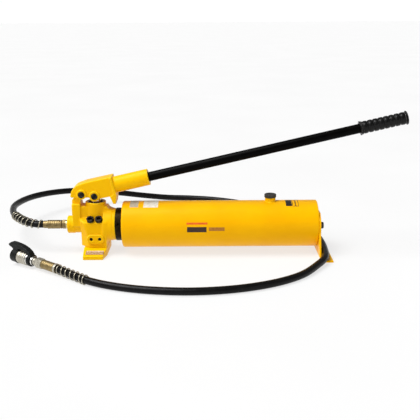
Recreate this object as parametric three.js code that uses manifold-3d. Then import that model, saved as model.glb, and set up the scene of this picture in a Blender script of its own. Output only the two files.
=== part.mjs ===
// Single-acting hydraulic hand pump with a cylindrical oil tank, a cast pump head, a long
// handle in a hinged yoke, and a hose that ends in a quick coupler with a rubber dust cap.
// Units are millimetres and +Z is up. X = 0 is the plunger axis, Y = 0 the plane that the
// handle swings in, and Z = 0 the surface that the two feet stand on. +X runs along the tank.

import * as THREE from 'three';
import { mergeVertices } from 'three/addons/utils/BufferGeometryUtils.js';
import Module from 'manifold-3d';

const wasm = await Module();
wasm.setup();

// ---- driving dimensions ------------------------------------------------------------------

const GAP = 0.3; // clearance between touching pieces
const AXIS_Z = 61; // height of the common axis of tank, lock ring and outlet

const TANK = { radius: 50, wall: 3, front: 58, rear: 475, edge: 3 };
const RING = { radius: 35.6, front: 43, spannerHole: 2.5, clock: THREE.MathUtils.degToRad(15) };
const STUB = { radius: 24, rear: 73 };
const HEAD = { left: -32, right: 24, halfWidth: 32, bottom: 18, top: 86 };
const SHOULDER = { edgeZ: 73, tilt: THREE.MathUtils.degToRad(28) };
const OUTLET = { left: -62, radius: 19, collar: 16 };
const BARREL = { radius: 22, top: 113 };
const POST = { left: -49, right: -31, halfWidth: 20, ledge: 111 };
const TONGUE = { halfWidth: 12, eye: 10 };
const PAD = { x: 0.8, z: 36.9, length: 37, height: 20, thickness: 3, pitch: 18, hole: 3.7 };

const FULCRUM = { x: -26.7, z: 131.7 };
const PLUNGER_PIN = { x: 0.8, z: 128 };
const PIN = { radius: 5, halfLength: 23.4, head: 6.8, headHeight: 2.4 };
const YOKE = { halfWidth: 18, innerHalf: 12.5, boss: 11, bossHalf: 21 };
const HANDLE = { tilt: THREE.MathUtils.degToRad(12.8), x: 45, z: 149.4, radius: 9.9, wall: 2 };
const SOCKET = { radius: 17.6, bore: 10.2, end: 72.6, bottom: 4 };
const GRIP = { start: 527.2, end: 628, radius: 13.3, flange: 15.2, ribs: 8 };

const PLUNGER = { radius: 11.5, stem: 6, step: 77, bottom: 54, top: 137 };
const SLOT = { left: -7.8, right: 6.6, height: 11.2 };
const STEM_BORE = { radius: 6.4, bottom: 47 };

const FOOT = { front: 62, toe: 8.5 };
const REAR_FOOT = { plate: 4, halfSpan: 86, waist: 68, reach: 26, lift: 50.2, lean: 0.15,
  shoulder: 0.35, top: 92, topHalf: 32 };
const TIE = { z: 55, radius: 4, hexAcross: 13, washer: 16.5, washerTo: 6 };
const FILLER = { x: 375, neck: 11.25, bore: 9.8, top: 118.6, cap: 12.75, capTop: 126, stickBottom: 60 };

const PLUG = { x: 9, y: -26.2, z: 76, radius: 7.75, height: 8, hexAcross: 8 };
const RELEASE = { z: 38, knob: 14, knobFrom: 48, knobTo: 66 };

const HOSE = { radius: 7.5, sides: 8, step: 36, guardedStep: 12 };
const GUARD = { wire: 1.25, radius: 9.7, stepsPerTurn: 10, sides: 4 };
const PUMP_GUARD = { turns: 7, length: 101 };
const COUPLER_GUARD = { turns: 6, length: 80 };
const FERRULE = { radius: 9.5, bore: 7, pumpFrom: 14, pumpTo: 45, skirt: 8.4, skirtRadius: 8.2 };
const COUPLER_START = new THREE.Vector3(-58, -148, 13.5);
const COUPLER_END = new THREE.Vector3(-167, -72, 19.5);

// Centreline of the hose from the pump's ferrule to the coupler's ferrule. It bows back behind
// the tank, comes down to the floor, turns round the tank's rear end over the rear foot, and
// runs forward along the floor.
const HOSE_ROUTE = [
  [-116, 0, 61],
  [-131, 0.2, 61.5],
  [-148, 7.5, 62.5],
  [-170, 28, 63.5],
  [-192, 60, 63.5],
  [-210, 104, 62],
  [-220, 155, 60.5],
  [-216, 208, 58.5],
  [-200, 262, 55.5],
  [-168, 313, 51.5],
  [-124, 352, 46.5],
  [-66, 383, 38],
  [0, 402, 27],
  [66, 416, 15.5],
  [130, 420, 8.6],
  [190, 415, 7.7],
  [262, 395, 7.7],
  [330, 357, 7.7],
  [392, 300, 7.7],
  [440, 230, 8],
  [468, 155, 10.3],
  [482.5, 98, 12.3],
  [490, 35, 12.2],
  [490.5, -25, 12.2],
  [482.5, -88, 12.3],
  [460, -127, 9.8],
  [425, -172, 7.7],
  [372, -212, 7.7],
  [300, -241, 7.7],
  [215, -253.5, 7.7],
  [130, -246, 7.7],
  [60, -225, 7.9],
  [12, -202, 9.4],
  [-22, -177, 11.8],
  [-57.3, -148.5, 13.5],
];

// ---- materials ---------------------------------------------------------------------------

const finish = (color, roughness, metalness) =>
  new THREE.MeshStandardMaterial({ color, roughness, metalness });

const YELLOW_PAINT = finish(0xf7bd00, 0.35, 0.0);
const HANDLE_PAINT = finish(0x141414, 0.35, 0.1);
const RING_OXIDE = finish(0x2c241c, 0.45, 0.6);
const BLACK_OXIDE = finish(0x1d1b1a, 0.45, 0.7);
const CHROME = finish(0xd8d8da, 0.12, 1.0);
const STEEL = finish(0x9a9a98, 0.35, 1.0);
const ZINC = finish(0xc9c7bd, 0.35, 0.9);
const OLIVE_ZINC = finish(0x9c8a5c, 0.35, 0.9);
const SPRING_WIRE = finish(0xb9b5a4, 0.35, 0.9);
const RUBBER = finish(0x171717, 0.6, 0.0);
const SEAL = finish(0x24201e, 0.7, 0.0);
const CAP_PLASTIC = finish(0x35383c, 0.5, 0.0);
const BADGE = finish(0xcfc9bb, 0.4, 0.6);

// ---- solid helpers -----------------------------------------------------------------------

// Turns a closed three.js geometry into a solid with its faces pointing out.
function solidOf(geometry) {
  const bare = geometry.index ? geometry.toNonIndexed() : geometry.clone();
  bare.deleteAttribute('normal');
  bare.deleteAttribute('uv');
  const merged = mergeVertices(bare, 1e-4);
  const index = merged.index.array;
  const points = merged.attributes.position.array;
  const at = (i) => new THREE.Vector3().fromArray(points, i * 3);
  const kept = [];
  let volume = 0;
  for (let i = 0; i < index.length; i += 3) {
    const [a, b, c] = [index[i], index[i + 1], index[i + 2]];
    if (a !== b && b !== c && c !== a) {
      kept.push(a, b, c);
      volume += at(a).dot(at(b).cross(at(c)));
    }
  }
  if (volume < 0) kept.reverse();
  return new wasm.Manifold(new wasm.Mesh({
    numProp: 3,
    vertProperties: new Float32Array(points),
    triVerts: new Uint32Array(kept),
  }));
}

function geometryOf(solid) {
  const data = solid.getMesh();
  const geometry = new THREE.BufferGeometry();
  geometry.setAttribute('position', new THREE.BufferAttribute(data.vertProperties, 3));
  geometry.setIndex(new THREE.BufferAttribute(data.triVerts, 1));
  geometry.computeVertexNormals();
  return geometry;
}

const join = (first, ...rest) => rest.reduce((sum, next) => sum.add(next), first);
const cut = (first, ...rest) => rest.reduce((left, next) => left.subtract(next), first);

function piece(name, solid, material) {
  const mesh = new THREE.Mesh(geometryOf(solid), material);
  mesh.name = name;
  return mesh;
}

const outline = (points) => new THREE.Shape(points.map(([x, y]) => new THREE.Vector2(x, y)));
const extruded = (shape, depth) =>
  new THREE.ExtrudeGeometry(shape, { depth, bevelEnabled: false, curveSegments: 8 });

// The shape lies in XY, XZ or YZ, and is extruded along the remaining axis.
const alongZ = (shape, from, to) => solidOf(extruded(shape, to - from).translate(0, 0, from));
const alongY = (shape, from, to) =>
  solidOf(extruded(shape, to - from).rotateX(Math.PI / 2).translate(0, to, 0));
const X_FROM_Z = new THREE.Matrix4().makeBasis(
  new THREE.Vector3(0, 1, 0), new THREE.Vector3(0, 0, 1), new THREE.Vector3(1, 0, 0));
const alongX = (shape, from, to) =>
  solidOf(extruded(shape, to - from).applyMatrix4(X_FROM_Z).translate(from, 0, 0));

// A turned piece: the profile lists [radius, height] about the Z axis.
const turned = (profile, sides) => new THREE.LatheGeometry(
  profile.map(([r, z]) => new THREE.Vector2(r, z)), sides).rotateX(Math.PI / 2);
const closed = (profile) => [...profile, profile[0]];

const turnedZ = (profile, sides, x = 0, y = 0, z = 0) =>
  solidOf(turned(profile, sides).translate(x, y, z));
const turnedX = (profile, sides, x = 0, y = 0, z = AXIS_Z) =>
  solidOf(turned(profile, sides).rotateY(Math.PI / 2).translate(x, y, z));
const turnedY = (profile, sides, x = 0, y = 0, z = 0) =>
  solidOf(turned(profile, sides).rotateX(-Math.PI / 2).translate(x, y, z));

const discProfile = (radius, from, to) => [[0, from], [radius, from], [radius, to], [0, to]];
const ringProfile = (inner, outer, from, to) =>
  closed([[inner, from], [outer, from], [outer, to], [inner, to]]);

const ball = (radius, x, y, z) =>
  solidOf(new THREE.SphereGeometry(radius, 8, 6).translate(x, y, z));

// A straight round bar between two points.
function barBetween(from, to, radius, sides = 10) {
  const axis = new THREE.Vector3().subVectors(to, from);
  const turn = new THREE.Quaternion().setFromUnitVectors(
    new THREE.Vector3(0, 0, 1), axis.clone().normalize());
  const bar = turned(discProfile(radius, 0, axis.length()), sides);
  return solidOf(bar.applyQuaternion(turn).translate(from.x, from.y, from.z));
}

const hexShape = (across) => {
  const corner = across / Math.sqrt(3);
  return outline([0, 1, 2, 3, 4, 5].map((i) => [
    corner * Math.cos((i + 0.5) * Math.PI / 3), corner * Math.sin((i + 0.5) * Math.PI / 3)]));
};

// A ring of circular section, such as an O-ring.
const torus = (radius, section, sides) =>
  new THREE.TorusGeometry(radius, section, 6, sides);

// A coil of wire: a helix about any centreline that a function of 0..1 gives with its frame.
class Helix extends THREE.Curve {
  constructor(frameAt, radius, turns) {
    super();
    this.frameAt = frameAt;
    this.radius = radius;
    this.turns = turns;
  }

  getPoint(t, target = new THREE.Vector3()) {
    const { centre, side, up } = this.frameAt(t);
    const angle = t * this.turns * Math.PI * 2;
    return target.copy(centre)
      .addScaledVector(side, this.radius * Math.cos(angle))
      .addScaledVector(up, this.radius * Math.sin(angle));
  }
}

function coil(curve, wire, steps, sides) {
  const section = outline(Array.from({ length: sides }, (_, i) => [
    wire * Math.cos(i * 2 * Math.PI / sides), wire * Math.sin(i * 2 * Math.PI / sides)]));
  return solidOf(new THREE.ExtrudeGeometry(section, { steps, extrudePath: curve }));
}

// ---- pump head ---------------------------------------------------------------------------

// The slanted shoulder on one long side of the head: the solid above it, to be cut away.
function aboveShoulder(side) {
  const block = new THREE.BoxGeometry(90, 60, 40).translate(0, 0, 20);
  block.rotateX(-side * SHOULDER.tilt);
  return solidOf(block.translate(0, side * HEAD.halfWidth, SHOULDER.edgeZ));
}

function headBlock() {
  const w = HEAD.halfWidth;
  const plan = outline([[HEAD.left, -18], [-15, -w], [HEAD.right, -w], [HEAD.right, w], [-15, w],
    [HEAD.left, 18]]);
  const block = alongZ(plan, HEAD.bottom + GAP, HEAD.top);
  return cut(block, aboveShoulder(-1), aboveShoulder(1));
}

function fulcrumPost() {
  const column = outline([[POST.left, AXIS_Z], [POST.left, POST.ledge],
    [POST.right, POST.ledge], [POST.right, AXIS_Z]]);
  const tongue = outline([[-30, 100], [-31, POST.ledge], [-30, 123], [FULCRUM.x, FULCRUM.z]]);
  tongue.lineTo(-35.5, 136.5);
  tongue.quadraticCurveTo(-45, 126, POST.left, 118);
  tongue.lineTo(POST.left, 100);
  const web = outline([[-34, AXIS_Z], [-34, 105], [-14, 105], [-14, AXIS_Z]]);
  const y = TONGUE.halfWidth;
  return join(
    alongY(column, -POST.halfWidth, POST.halfWidth),
    alongY(tongue, -y, y),
    turnedY(discProfile(TONGUE.eye, -y, y), 16, FULCRUM.x, 0, FULCRUM.z),
    alongY(web, -17, 17));
}

function sidePad() {
  const half = (PAD.length - PAD.height) / 2;
  const shape = new THREE.Shape();
  shape.absarc(half, 0, PAD.height / 2, -Math.PI / 2, Math.PI / 2, false);
  shape.absarc(-half, 0, PAD.height / 2, Math.PI / 2, Math.PI * 1.5, false);
  const face = -HEAD.halfWidth;
  return alongY(shape, face - PAD.thickness, face + 1).translate([PAD.x, 0, PAD.z]);
}

// Relief-valve bore with the spot face that its plug sits on.
function valveBore(x) {
  const into = new THREE.Vector3(0, Math.sin(SHOULDER.tilt), -Math.cos(SHOULDER.tilt));
  const seat = new THREE.Vector3(x, PLUG.y, PLUG.z);
  const above = seat.clone().addScaledVector(into, -14);
  const floor = seat.clone().addScaledVector(into, 24.3);
  return join(barBetween(above, floor, 5.4), barBetween(above, seat, PLUG.radius + 0.6, 16));
}

// Drillings: plunger bore, seal housing, suction and outlet passages, release bore and threads.
function headDrillings() {
  const at = (x, y, z) => new THREE.Vector3(x, y, z);
  return [
    turnedZ(discProfile(17.3, 90.4, BARREL.top + 1), 20),
    turnedZ(discProfile(12, 70, 92), 16),
    turnedZ(discProfile(STEM_BORE.radius, STEM_BORE.bottom, 71), 12),
    turnedZ(discProfile(5, 41, 48), 10),
    turnedZ(discProfile(2.2, 32, 42), 8),
    barBetween(at(-1, 0, 33), at(42, 0, 45), 4),
    barBetween(at(40, 0, 45), at(STUB.rear + 1, 0, 45), 5.5),
    barBetween(at(OUTLET.left - 1, 0, AXIS_Z), at(-44, 0, AXIS_Z), 8.6, 16),
    barBetween(at(-45, 0, AXIS_Z), at(-34, 0, AXIS_Z), 5),
    barBetween(at(-35, 0, AXIS_Z), at(-3, 0, AXIS_Z), 2.2, 8),
    barBetween(at(0, 33, RELEASE.z), at(0, 10, RELEASE.z), 6.4),
    barBetween(at(0, 11, RELEASE.z), at(0, 0, RELEASE.z), 1.8, 8),
    turnedY(discProfile(5.4, -13, 13), 16, FULCRUM.x, 0, FULCRUM.z),
    ...[-1, 1].map((side) => valveBore(side * PLUG.x)),
    ...[-1, 1].map((side) => turnedY(discProfile(PAD.hole, -36, -27), 12,
      PAD.x + side * PAD.pitch / 2, 0, PAD.z)),
    ...[-1, 1].map((side) => turnedZ(discProfile(5.4, 17, 29), 12, 0, side * 22)),
  ];
}

function pumpBody() {
  const saddle = outline([[12, 70], [12, 104], [25, 104], [29, 98], [37, 93], [37, 70]]);
  const casting = join(
    headBlock(),
    fulcrumPost(),
    sidePad(),
    turnedZ(discProfile(BARREL.radius, 60, BARREL.top), 24),
    turnedX(discProfile(OUTLET.radius - 1, OUTLET.left + 2, -20), 20),
    turnedX(discProfile(OUTLET.radius, OUTLET.left, OUTLET.left + OUTLET.collar), 20),
    alongY(saddle, -14, 14),
    turnedX(discProfile(RING.radius, 18, RING.front), 28),
    turnedX(discProfile(STUB.radius, RING.front - 1, STUB.rear), 24));
  return piece('pump_body', cut(casting, ...headDrillings()), YELLOW_PAINT);
}

function frontFoot() {
  const { front, toe } = FOOT;
  const side = outline([[-front, 0], [front, 0], [front, toe], [HEAD.halfWidth, HEAD.bottom],
    [-HEAD.halfWidth, HEAD.bottom], [-front, toe]]);
  const waist = outline([[-23.4, -front], [19, -front], [24.5, -32], [24.5, 32], [19, front],
    [-23.4, front], [-25, 32], [-25, -32]]);
  const foot = alongX(side, -40, 40).intersect(alongZ(waist, -1, 30));
  const wells = [-1, 1].flatMap((s) => [
    turnedZ(discProfile(8.8, -1, 10), 16, 0, s * 22),
    turnedZ(discProfile(5.4, 9, 20), 12, 0, s * 22),
  ]);
  return piece('front_foot', cut(foot, ...wells), YELLOW_PAINT);
}

function footScrew(name, y) {
  const screw = join(
    turnedZ(discProfile(8, 1.2, 9.6), 16, 0, y),
    turnedZ(discProfile(5, 9, 28), 12, 0, y));
  const socket = alongZ(hexShape(8), 0, 6).translate([0, y, 0]);
  return piece(name, screw.subtract(socket), BLACK_OXIDE);
}

// A blank badge plate on the sloping toe of the front foot.
function badgePlate() {
  const slope = Math.atan2(HEAD.bottom - FOOT.toe, FOOT.front - HEAD.halfWidth);
  const y = -50.5;
  const z = HEAD.bottom + (y + HEAD.halfWidth) * Math.tan(slope);
  const plate = new THREE.BoxGeometry(38, 12.5, 0.8).translate(0.9, 0, 0.4 + GAP);
  plate.rotateX(slope);
  return piece('badge_plate', solidOf(plate.translate(0, y, z)), BADGE);
}

function glandNut() {
  const nut = turnedZ(closed([[11.9, 97], [17, 97], [17, 112.4], [15.4, 112.4], [15.4, 107.2],
    [11.9, 107.2]]), 18);
  const slots = new THREE.BoxGeometry(4, 36, 5).translate(0, 0, 112);
  return piece('gland_nut', nut.subtract(solidOf(slots)), STEEL);
}

const wiperSeal = () =>
  piece('wiper_seal', turnedZ(ringProfile(12.0, 15, 107.5, 112.8), 16), SEAL);
const plungerSeal = () =>
  piece('plunger_seal', turnedZ(ringProfile(12.0, 16.9, 90.8, 96.6), 16), SEAL);

// A black socket-head plug that closes a relief-valve bore, with the spring and ball under it.
function reliefValve(label, x) {
  const group = new THREE.Group();
  const hex = alongZ(hexShape(PLUG.hexAcross), PLUG.height - 5, PLUG.height + 1);
  const plug = join(
    turnedZ([[0, GAP], [PLUG.radius, GAP], [PLUG.radius, 7], [PLUG.radius - 1, PLUG.height],
      [0, PLUG.height]], 16),
    turnedZ(discProfile(4.8, -7, 1), 10)).subtract(hex);
  const springFrame = (t) => ({
    centre: new THREE.Vector3(0, 0, -9 - 8 * t),
    side: new THREE.Vector3(1, 0, 0),
    up: new THREE.Vector3(0, 1, 0),
  });
  group.add(
    piece(`valve_plug_${label}`, plug, BLACK_OXIDE),
    piece(`relief_spring_${label}`, coil(new Helix(springFrame, 3.4, 4), 0.7, 28, 4), STEEL),
    piece(`relief_ball_${label}`, ball(3.2, 0, 0, -20.8), CHROME));
  group.position.set(x, PLUG.y, PLUG.z);
  group.rotation.x = SHOULDER.tilt;
  return group;
}

// ---- lever, pins and plunger -------------------------------------------------------------

// Everything on the handle's axis is turned about Z and then leaned into place.
function onHandle(...meshes) {
  const group = new THREE.Group();
  group.add(...meshes);
  group.position.set(HANDLE.x, 0, HANDLE.z);
  group.rotation.y = Math.PI / 2 - HANDLE.tilt;
  return group;
}

function leanToHandle(solid) {
  const degrees = THREE.MathUtils.radToDeg(Math.PI / 2 - HANDLE.tilt);
  return solid.rotate([0, degrees, 0]).translate([HANDLE.x, 0, HANDLE.z]);
}

function yoke() {
  const cheek = outline([[-48, 124.5], [-11, 124.5], [11, 122], [33, 126.5], [40, 111],
    [45.5, 111], [48, 130], [37.5, 169.3], [-18, 157.3], [-29, 153.3]]);
  cheek.quadraticCurveTo(-46, 149, -51, 127.5);
  const cavity = outline([[-80, 60], [33, 60], [33, 124], [38, 127], [31.5, 161.6],
    [-22, 150.2], [-31, 146], [-39, 140.5], [-44, 144.5], [-80, 144.5]]);
  const { halfWidth, innerHalf, boss, bossHalf } = YOKE;
  const pinBoss = (at, radius) =>
    turnedY(discProfile(radius, -bossHalf, bossHalf), 20, at.x, 0, at.z);
  const pinHole = (at) => turnedY(discProfile(PIN.radius + 0.4, -30, 30), 16, at.x, 0, at.z);
  const tube = turnedZ(discProfile(SOCKET.radius, -2, SOCKET.end), 24);
  const bore = turnedZ(discProfile(SOCKET.bore, SOCKET.bottom, SOCKET.end + 1), 20);
  const casting = join(alongY(cheek, -halfWidth, halfWidth), pinBoss(FULCRUM, boss - 0.5),
    pinBoss(PLUNGER_PIN, boss));
  const hollow = cut(casting, alongY(cavity, -innerHalf, innerHalf), pinHole(FULCRUM),
    pinHole(PLUNGER_PIN));
  return piece('yoke', cut(join(hollow, leanToHandle(tube)), leanToHandle(bore)), YELLOW_PAINT);
}

function handleTube() {
  const { radius, wall } = HANDLE;
  const tube = turnedZ(ringProfile(radius - wall, radius, SOCKET.bottom + GAP, GRIP.end - 6), 16);
  return piece('handle_tube', tube, HANDLE_PAINT);
}

function handleGrip() {
  const { start, end, radius, flange, ribs } = GRIP;
  const profile = [[0, end - 5], [SOCKET.bore, end - 5], [SOCKET.bore, start], [flange, start],
    [flange, start + 3]];
  const ribsFrom = start + 6;
  const pitch = (end - 5 - ribsFrom) / ribs;
  for (let i = 0; i < ribs; i += 1) {
    const base = ribsFrom + i * pitch;
    profile.push([radius - 1.8, base], [radius, base + 0.5 * pitch]);
  }
  profile.push([radius - 1.8, end - 5], [flange - 0.5, end - 3.5], [flange - 0.5, end - 1],
    [flange - 2, end], [0, end]);
  return piece('handle_grip', turnedZ(profile, 14), RUBBER);
}

// Headed pin through both cheeks, with a retaining ring on its far end.
function pinWithRing(label, at) {
  const { radius, halfLength, head, headHeight } = PIN;
  const shank = turnedY(discProfile(radius, -YOKE.bossHalf - 1, halfLength), 16, at.x, 0, at.z);
  const cap = turnedY(discProfile(head, -YOKE.bossHalf - GAP - headHeight, -YOKE.bossHalf - GAP),
    16, at.x, 0, at.z);
  const from = YOKE.bossHalf + GAP;
  const ring = turnedY(ringProfile(radius + GAP, radius + 3, from, from + 1.4), 16, at.x, 0, at.z);
  return [
    piece(`${label}_pin`, shank.add(cap), BLACK_OXIDE),
    piece(`${label}_retaining_ring`, ring, STEEL),
  ];
}

function plunger() {
  const { radius, stem, step, bottom, top } = PLUNGER;
  const turnedPart = turnedZ([[0, bottom], [stem, bottom], [stem, step], [radius, step],
    [radius, top - 3], [radius - 3, top], [0, top]], 20);
  const half = SLOT.height / 2;
  const slot = new THREE.Shape();
  slot.absarc(SLOT.right - half, PLUNGER_PIN.z, half, -Math.PI / 2, Math.PI / 2, false);
  slot.absarc(SLOT.left + half, PLUNGER_PIN.z, half, Math.PI / 2, Math.PI * 1.5, false);
  return piece('plunger', turnedPart.subtract(alongY(slot, -20, 20)), CHROME);
}

// ---- check balls and release valve -------------------------------------------------------

function checkValves() {
  const springFrame = (t) => ({
    centre: new THREE.Vector3(-41 - 2.4 * t, 0, AXIS_Z),
    side: new THREE.Vector3(0, 1, 0),
    up: new THREE.Vector3(0, 0, 1),
  });
  return [
    piece('suction_ball', ball(3.2, 0, 0, 44.6), CHROME),
    piece('outlet_ball', ball(3.2, -37.6, 0, AXIS_Z), CHROME),
    piece('outlet_spring', coil(new Helix(springFrame, 3.4, 1.5), 0.5, 12, 4), STEEL),
  ];
}

function releaseValve() {
  const { z, knob, knobFrom, knobTo } = RELEASE;
  const nut = cut(
    join(alongY(hexShape(22), 32 + GAP, 40).translate([0, 0, z]),
      turnedY(discProfile(6, 22, 33), 12, 0, 0, z)),
    turnedY(discProfile(4.4, 21, 41), 12, 0, 0, z));
  const spindle = turnedY([[0, 16.8], [4, 20], [4, knobTo - 3], [0, knobTo - 3]], 12, 0, 0, z);
  const flutes = 12;
  const rim = outline(Array.from({ length: flutes * 2 }, (_, i) => {
    const r = i % 2 ? knob - 1.2 : knob;
    return [r * Math.cos(i * Math.PI / flutes), r * Math.sin(i * Math.PI / flutes)];
  }));
  const grip = join(alongY(rim, knobFrom + 4, knobTo), turnedY(discProfile(8, knobFrom, knobFrom + 5), 16))
    .translate([0, 0, z])
    .subtract(turnedY(discProfile(4.4, knobFrom - 1, knobTo - 2.6), 12, 0, 0, z));
  return [
    piece('release_packing_nut', nut, STEEL),
    piece('release_spindle', spindle, STEEL),
    piece('release_knob', grip, BLACK_OXIDE),
    piece('release_ball', ball(3, 0, 13.4, z), CHROME),
  ];
}

// ---- tank --------------------------------------------------------------------------------

function lockRing() {
  const { radius, front, spannerHole } = RING;
  const [from, to] = [front + GAP, TANK.front - GAP];
  const bore = STUB.radius + 0.5;
  const ring = turnedX(closed([[bore, from], [radius - 0.8, from], [radius, from + 0.9],
    [radius, to - 0.9], [radius - 0.8, to], [28.5, to], [28.5, 52], [bore, 52]]), 28);
  const hole = (turn) => solidOf(turned(discProfile(spannerHole, 28.8, 40), 8)
    .rotateX(turn * Math.PI / 2 - RING.clock).translate((from + to) / 2, 0, AXIS_Z));
  return piece('lock_ring', cut(ring, ...[0, 1, 2, 3].map(hole)), RING_OXIDE);
}

const neckSeal = () => piece('neck_oring',
  solidOf(torus(26.4, 1.6, 18).rotateY(Math.PI / 2).translate(54.6, 0, AXIS_Z)), SEAL);

function tankShell() {
  const { radius, wall, front, rear, edge } = TANK;
  const inner = radius - wall;
  const shell = turnedX(closed([[inner, front], [radius - edge * 0.5, front], [radius, front + edge],
    [radius, rear - edge], [radius - edge * 0.5, rear], [inner, rear]]), 36);
  const hole = turnedZ(discProfile(FILLER.bore, 90, 130), 16, FILLER.x);
  return piece('tank_shell', shell.subtract(hole), YELLOW_PAINT);
}

function tankPlates() {
  const outer = TANK.radius - TANK.wall - GAP;
  const bore = STUB.radius + 0.5;
  const front = turnedX(closed([[bore, TANK.front + GAP], [outer, TANK.front + GAP],
    [outer, TANK.front + 8], [31, TANK.front + 8], [31, STUB.rear], [bore, STUB.rear]]), 24);
  const rear = turnedX(discProfile(outer, TANK.rear - 8, TANK.rear), 24);
  const boss = turnedX(discProfile(11, TANK.rear - 24, TANK.rear - 7), 16, 0, 0, TIE.z);
  const thread = turnedX(discProfile(TIE.radius + 0.4, TANK.rear - 22, TANK.rear + 1), 14, 0, 0,
    TIE.z);
  return [
    piece('tank_front_plate', front, YELLOW_PAINT),
    piece('tank_rear_plate', cut(rear.add(boss), thread), YELLOW_PAINT),
  ];
}

function suctionLine() {
  const path = new THREE.CatmullRomCurve3([
    [68, 0, 45], [84, 0, 45], [98, 0, 41], [110, 0, 31], [124, 0, 25], [136, 0, 25],
  ].map((p) => new THREE.Vector3(...p)));
  const strainer = turnedX(closed([[5.3, 136.5], [11, 136.5], [11, 176], [4, 176], [4, 140],
    [5.3, 140]]), 16, 0, 0, 25);
  return [
    piece('suction_tube', coil(path, 4.6, 14, 8), STEEL),
    piece('suction_strainer', strainer, ZINC),
  ];
}

function filler() {
  const { x, neck, bore, top, cap, capTop, stickBottom } = FILLER;
  const tank = turnedX(discProfile(TANK.radius + GAP, x - 20, x + 20), 40);
  const collar = turnedZ(ringProfile(bore, neck, 104, top), 16, x).subtract(tank);
  const lid = turnedZ([[0, top + GAP], [cap, top + GAP], [cap, capTop - 0.8], [cap - 0.8, capTop],
    [cap - 2.4, capTop], [cap - 3.2, capTop - 1.6], [0, capTop - 1.6]], 20, x);
  const seal = solidOf(torus(8.95, 0.7, 14).translate(x, 0, 114));
  const blade = solidOf(new THREE.BoxGeometry(5, 1.6, 111 - stickBottom)
    .translate(x, 0, (111 + stickBottom) / 2));
  const stick = blade.add(turnedZ(discProfile(7.8, 110, top), 16, x));
  return [
    piece('filler_neck', collar, YELLOW_PAINT),
    piece('filler_cap', lid, CAP_PLASTIC),
    piece('filler_cap_oring', seal, SEAL),
    piece('dipstick', stick, ZINC),
  ];
}

// Bent plate under the tank's rear end, held by one bolt into the rear plate.
function rearFoot() {
  const { plate, halfSpan, waist, reach, lift, lean, shoulder, top, topHalf } = REAR_FOOT;
  const x = TANK.rear + GAP;
  const bend = new THREE.Shape();
  bend.moveTo(x, 4);
  bend.quadraticCurveTo(x, 0, x + 4, 0);
  bend.lineTo(x + reach, 0);
  bend.lineTo(x + reach, plate);
  bend.lineTo(x + 7, plate);
  bend.quadraticCurveTo(x + plate, plate, x + plate, 7);
  bend.lineTo(x + plate, 120);
  bend.lineTo(x, 120);
  const face = new THREE.Shape();
  face.moveTo(-halfSpan, -1);
  face.lineTo(halfSpan, -1);
  face.lineTo(halfSpan, plate);
  face.lineTo(waist, plate);
  face.absarc(0, AXIS_Z, lift, -lean, shoulder, false);
  face.lineTo(topHalf, top);
  face.lineTo(-topHalf, top);
  face.absarc(0, AXIS_Z, lift, Math.PI - shoulder, Math.PI + lean, false);
  face.lineTo(-waist, plate);
  face.lineTo(-halfSpan, plate);
  const hole = turnedX(discProfile(TIE.radius + 0.6, x - 5, x + 10), 14, 0, 0, TIE.z);
  const foot = alongY(bend, -halfSpan - 1, halfSpan + 1).intersect(alongX(face, x - 10, x + 60));
  return piece('rear_foot', foot.subtract(hole), YELLOW_PAINT);
}

// The bolt that holds the rear foot, over a thick dished washer.
function tieBolt() {
  const { z, radius, hexAcross, washer, washerTo } = TIE;
  const face = TANK.rear + GAP + REAR_FOOT.plate;
  const dish = turnedX(closed([[radius + 0.6, face + GAP], [washer, face + GAP],
    [washer, face + 2.5], [washer - 5, face + washerTo], [radius + 0.6, face + washerTo]]),
    18, 0, 0, z);
  const seat = face + washerTo + GAP;
  const head = alongX(hexShape(hexAcross), seat, seat + 6).translate([0, 0, z]);
  const shank = turnedX(discProfile(radius, TANK.rear - 21, seat + 1), 12, 0, 0, z);
  return [
    piece('tie_washer', dish, BLACK_OXIDE),
    piece('tie_bolt', head.add(shank), BLACK_OXIDE),
  ];
}

// ---- hose and its fittings ---------------------------------------------------------------

const hoseCurve = new THREE.CatmullRomCurve3(
  HOSE_ROUTE.map((p) => new THREE.Vector3(...p)), false, 'centripetal');

// A curve that is stepped at chosen fractions of its length.
class SteppedPath extends THREE.Curve {
  constructor(curve, stations) {
    super();
    this.curve = curve;
    this.stations = stations;
  }

  stationAt(u) {
    return this.stations[Math.round(u * (this.stations.length - 1))];
  }

  getPointAt(u) {
    return this.curve.getPointAt(this.stationAt(u));
  }

  getTangentAt(u) {
    return this.curve.getTangentAt(this.stationAt(u));
  }
}

// The steps are short under the two spring guards, where the bend is tight.
function hoseStations() {
  const length = hoseCurve.getLength();
  const guarded = Math.ceil((PUMP_GUARD.length + 6) / HOSE.guardedStep);
  const plain = Math.round((length - 2 * guarded * HOSE.guardedStep) / HOSE.step);
  const end = guarded * HOSE.guardedStep / length;
  const near = Array.from({ length: guarded }, (_, i) => i * HOSE.guardedStep / length);
  const middle = Array.from({ length: plain }, (_, i) => end + (1 - 2 * end) * i / plain);
  const far = near.map((u) => 1 - u).reverse();
  return [...near, ...middle, 1 - end, ...far];
}

function hose() {
  const { radius, sides } = HOSE;
  const section = outline(Array.from({ length: sides }, (_, i) => [
    radius * Math.cos(i * 2 * Math.PI / sides), radius * Math.sin(i * 2 * Math.PI / sides)]));
  const stations = hoseStations();
  const extrudePath = new SteppedPath(hoseCurve, stations);
  return piece('hose', solidOf(new THREE.ExtrudeGeometry(
    section, { steps: stations.length - 1, extrudePath })), RUBBER);
}

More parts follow.
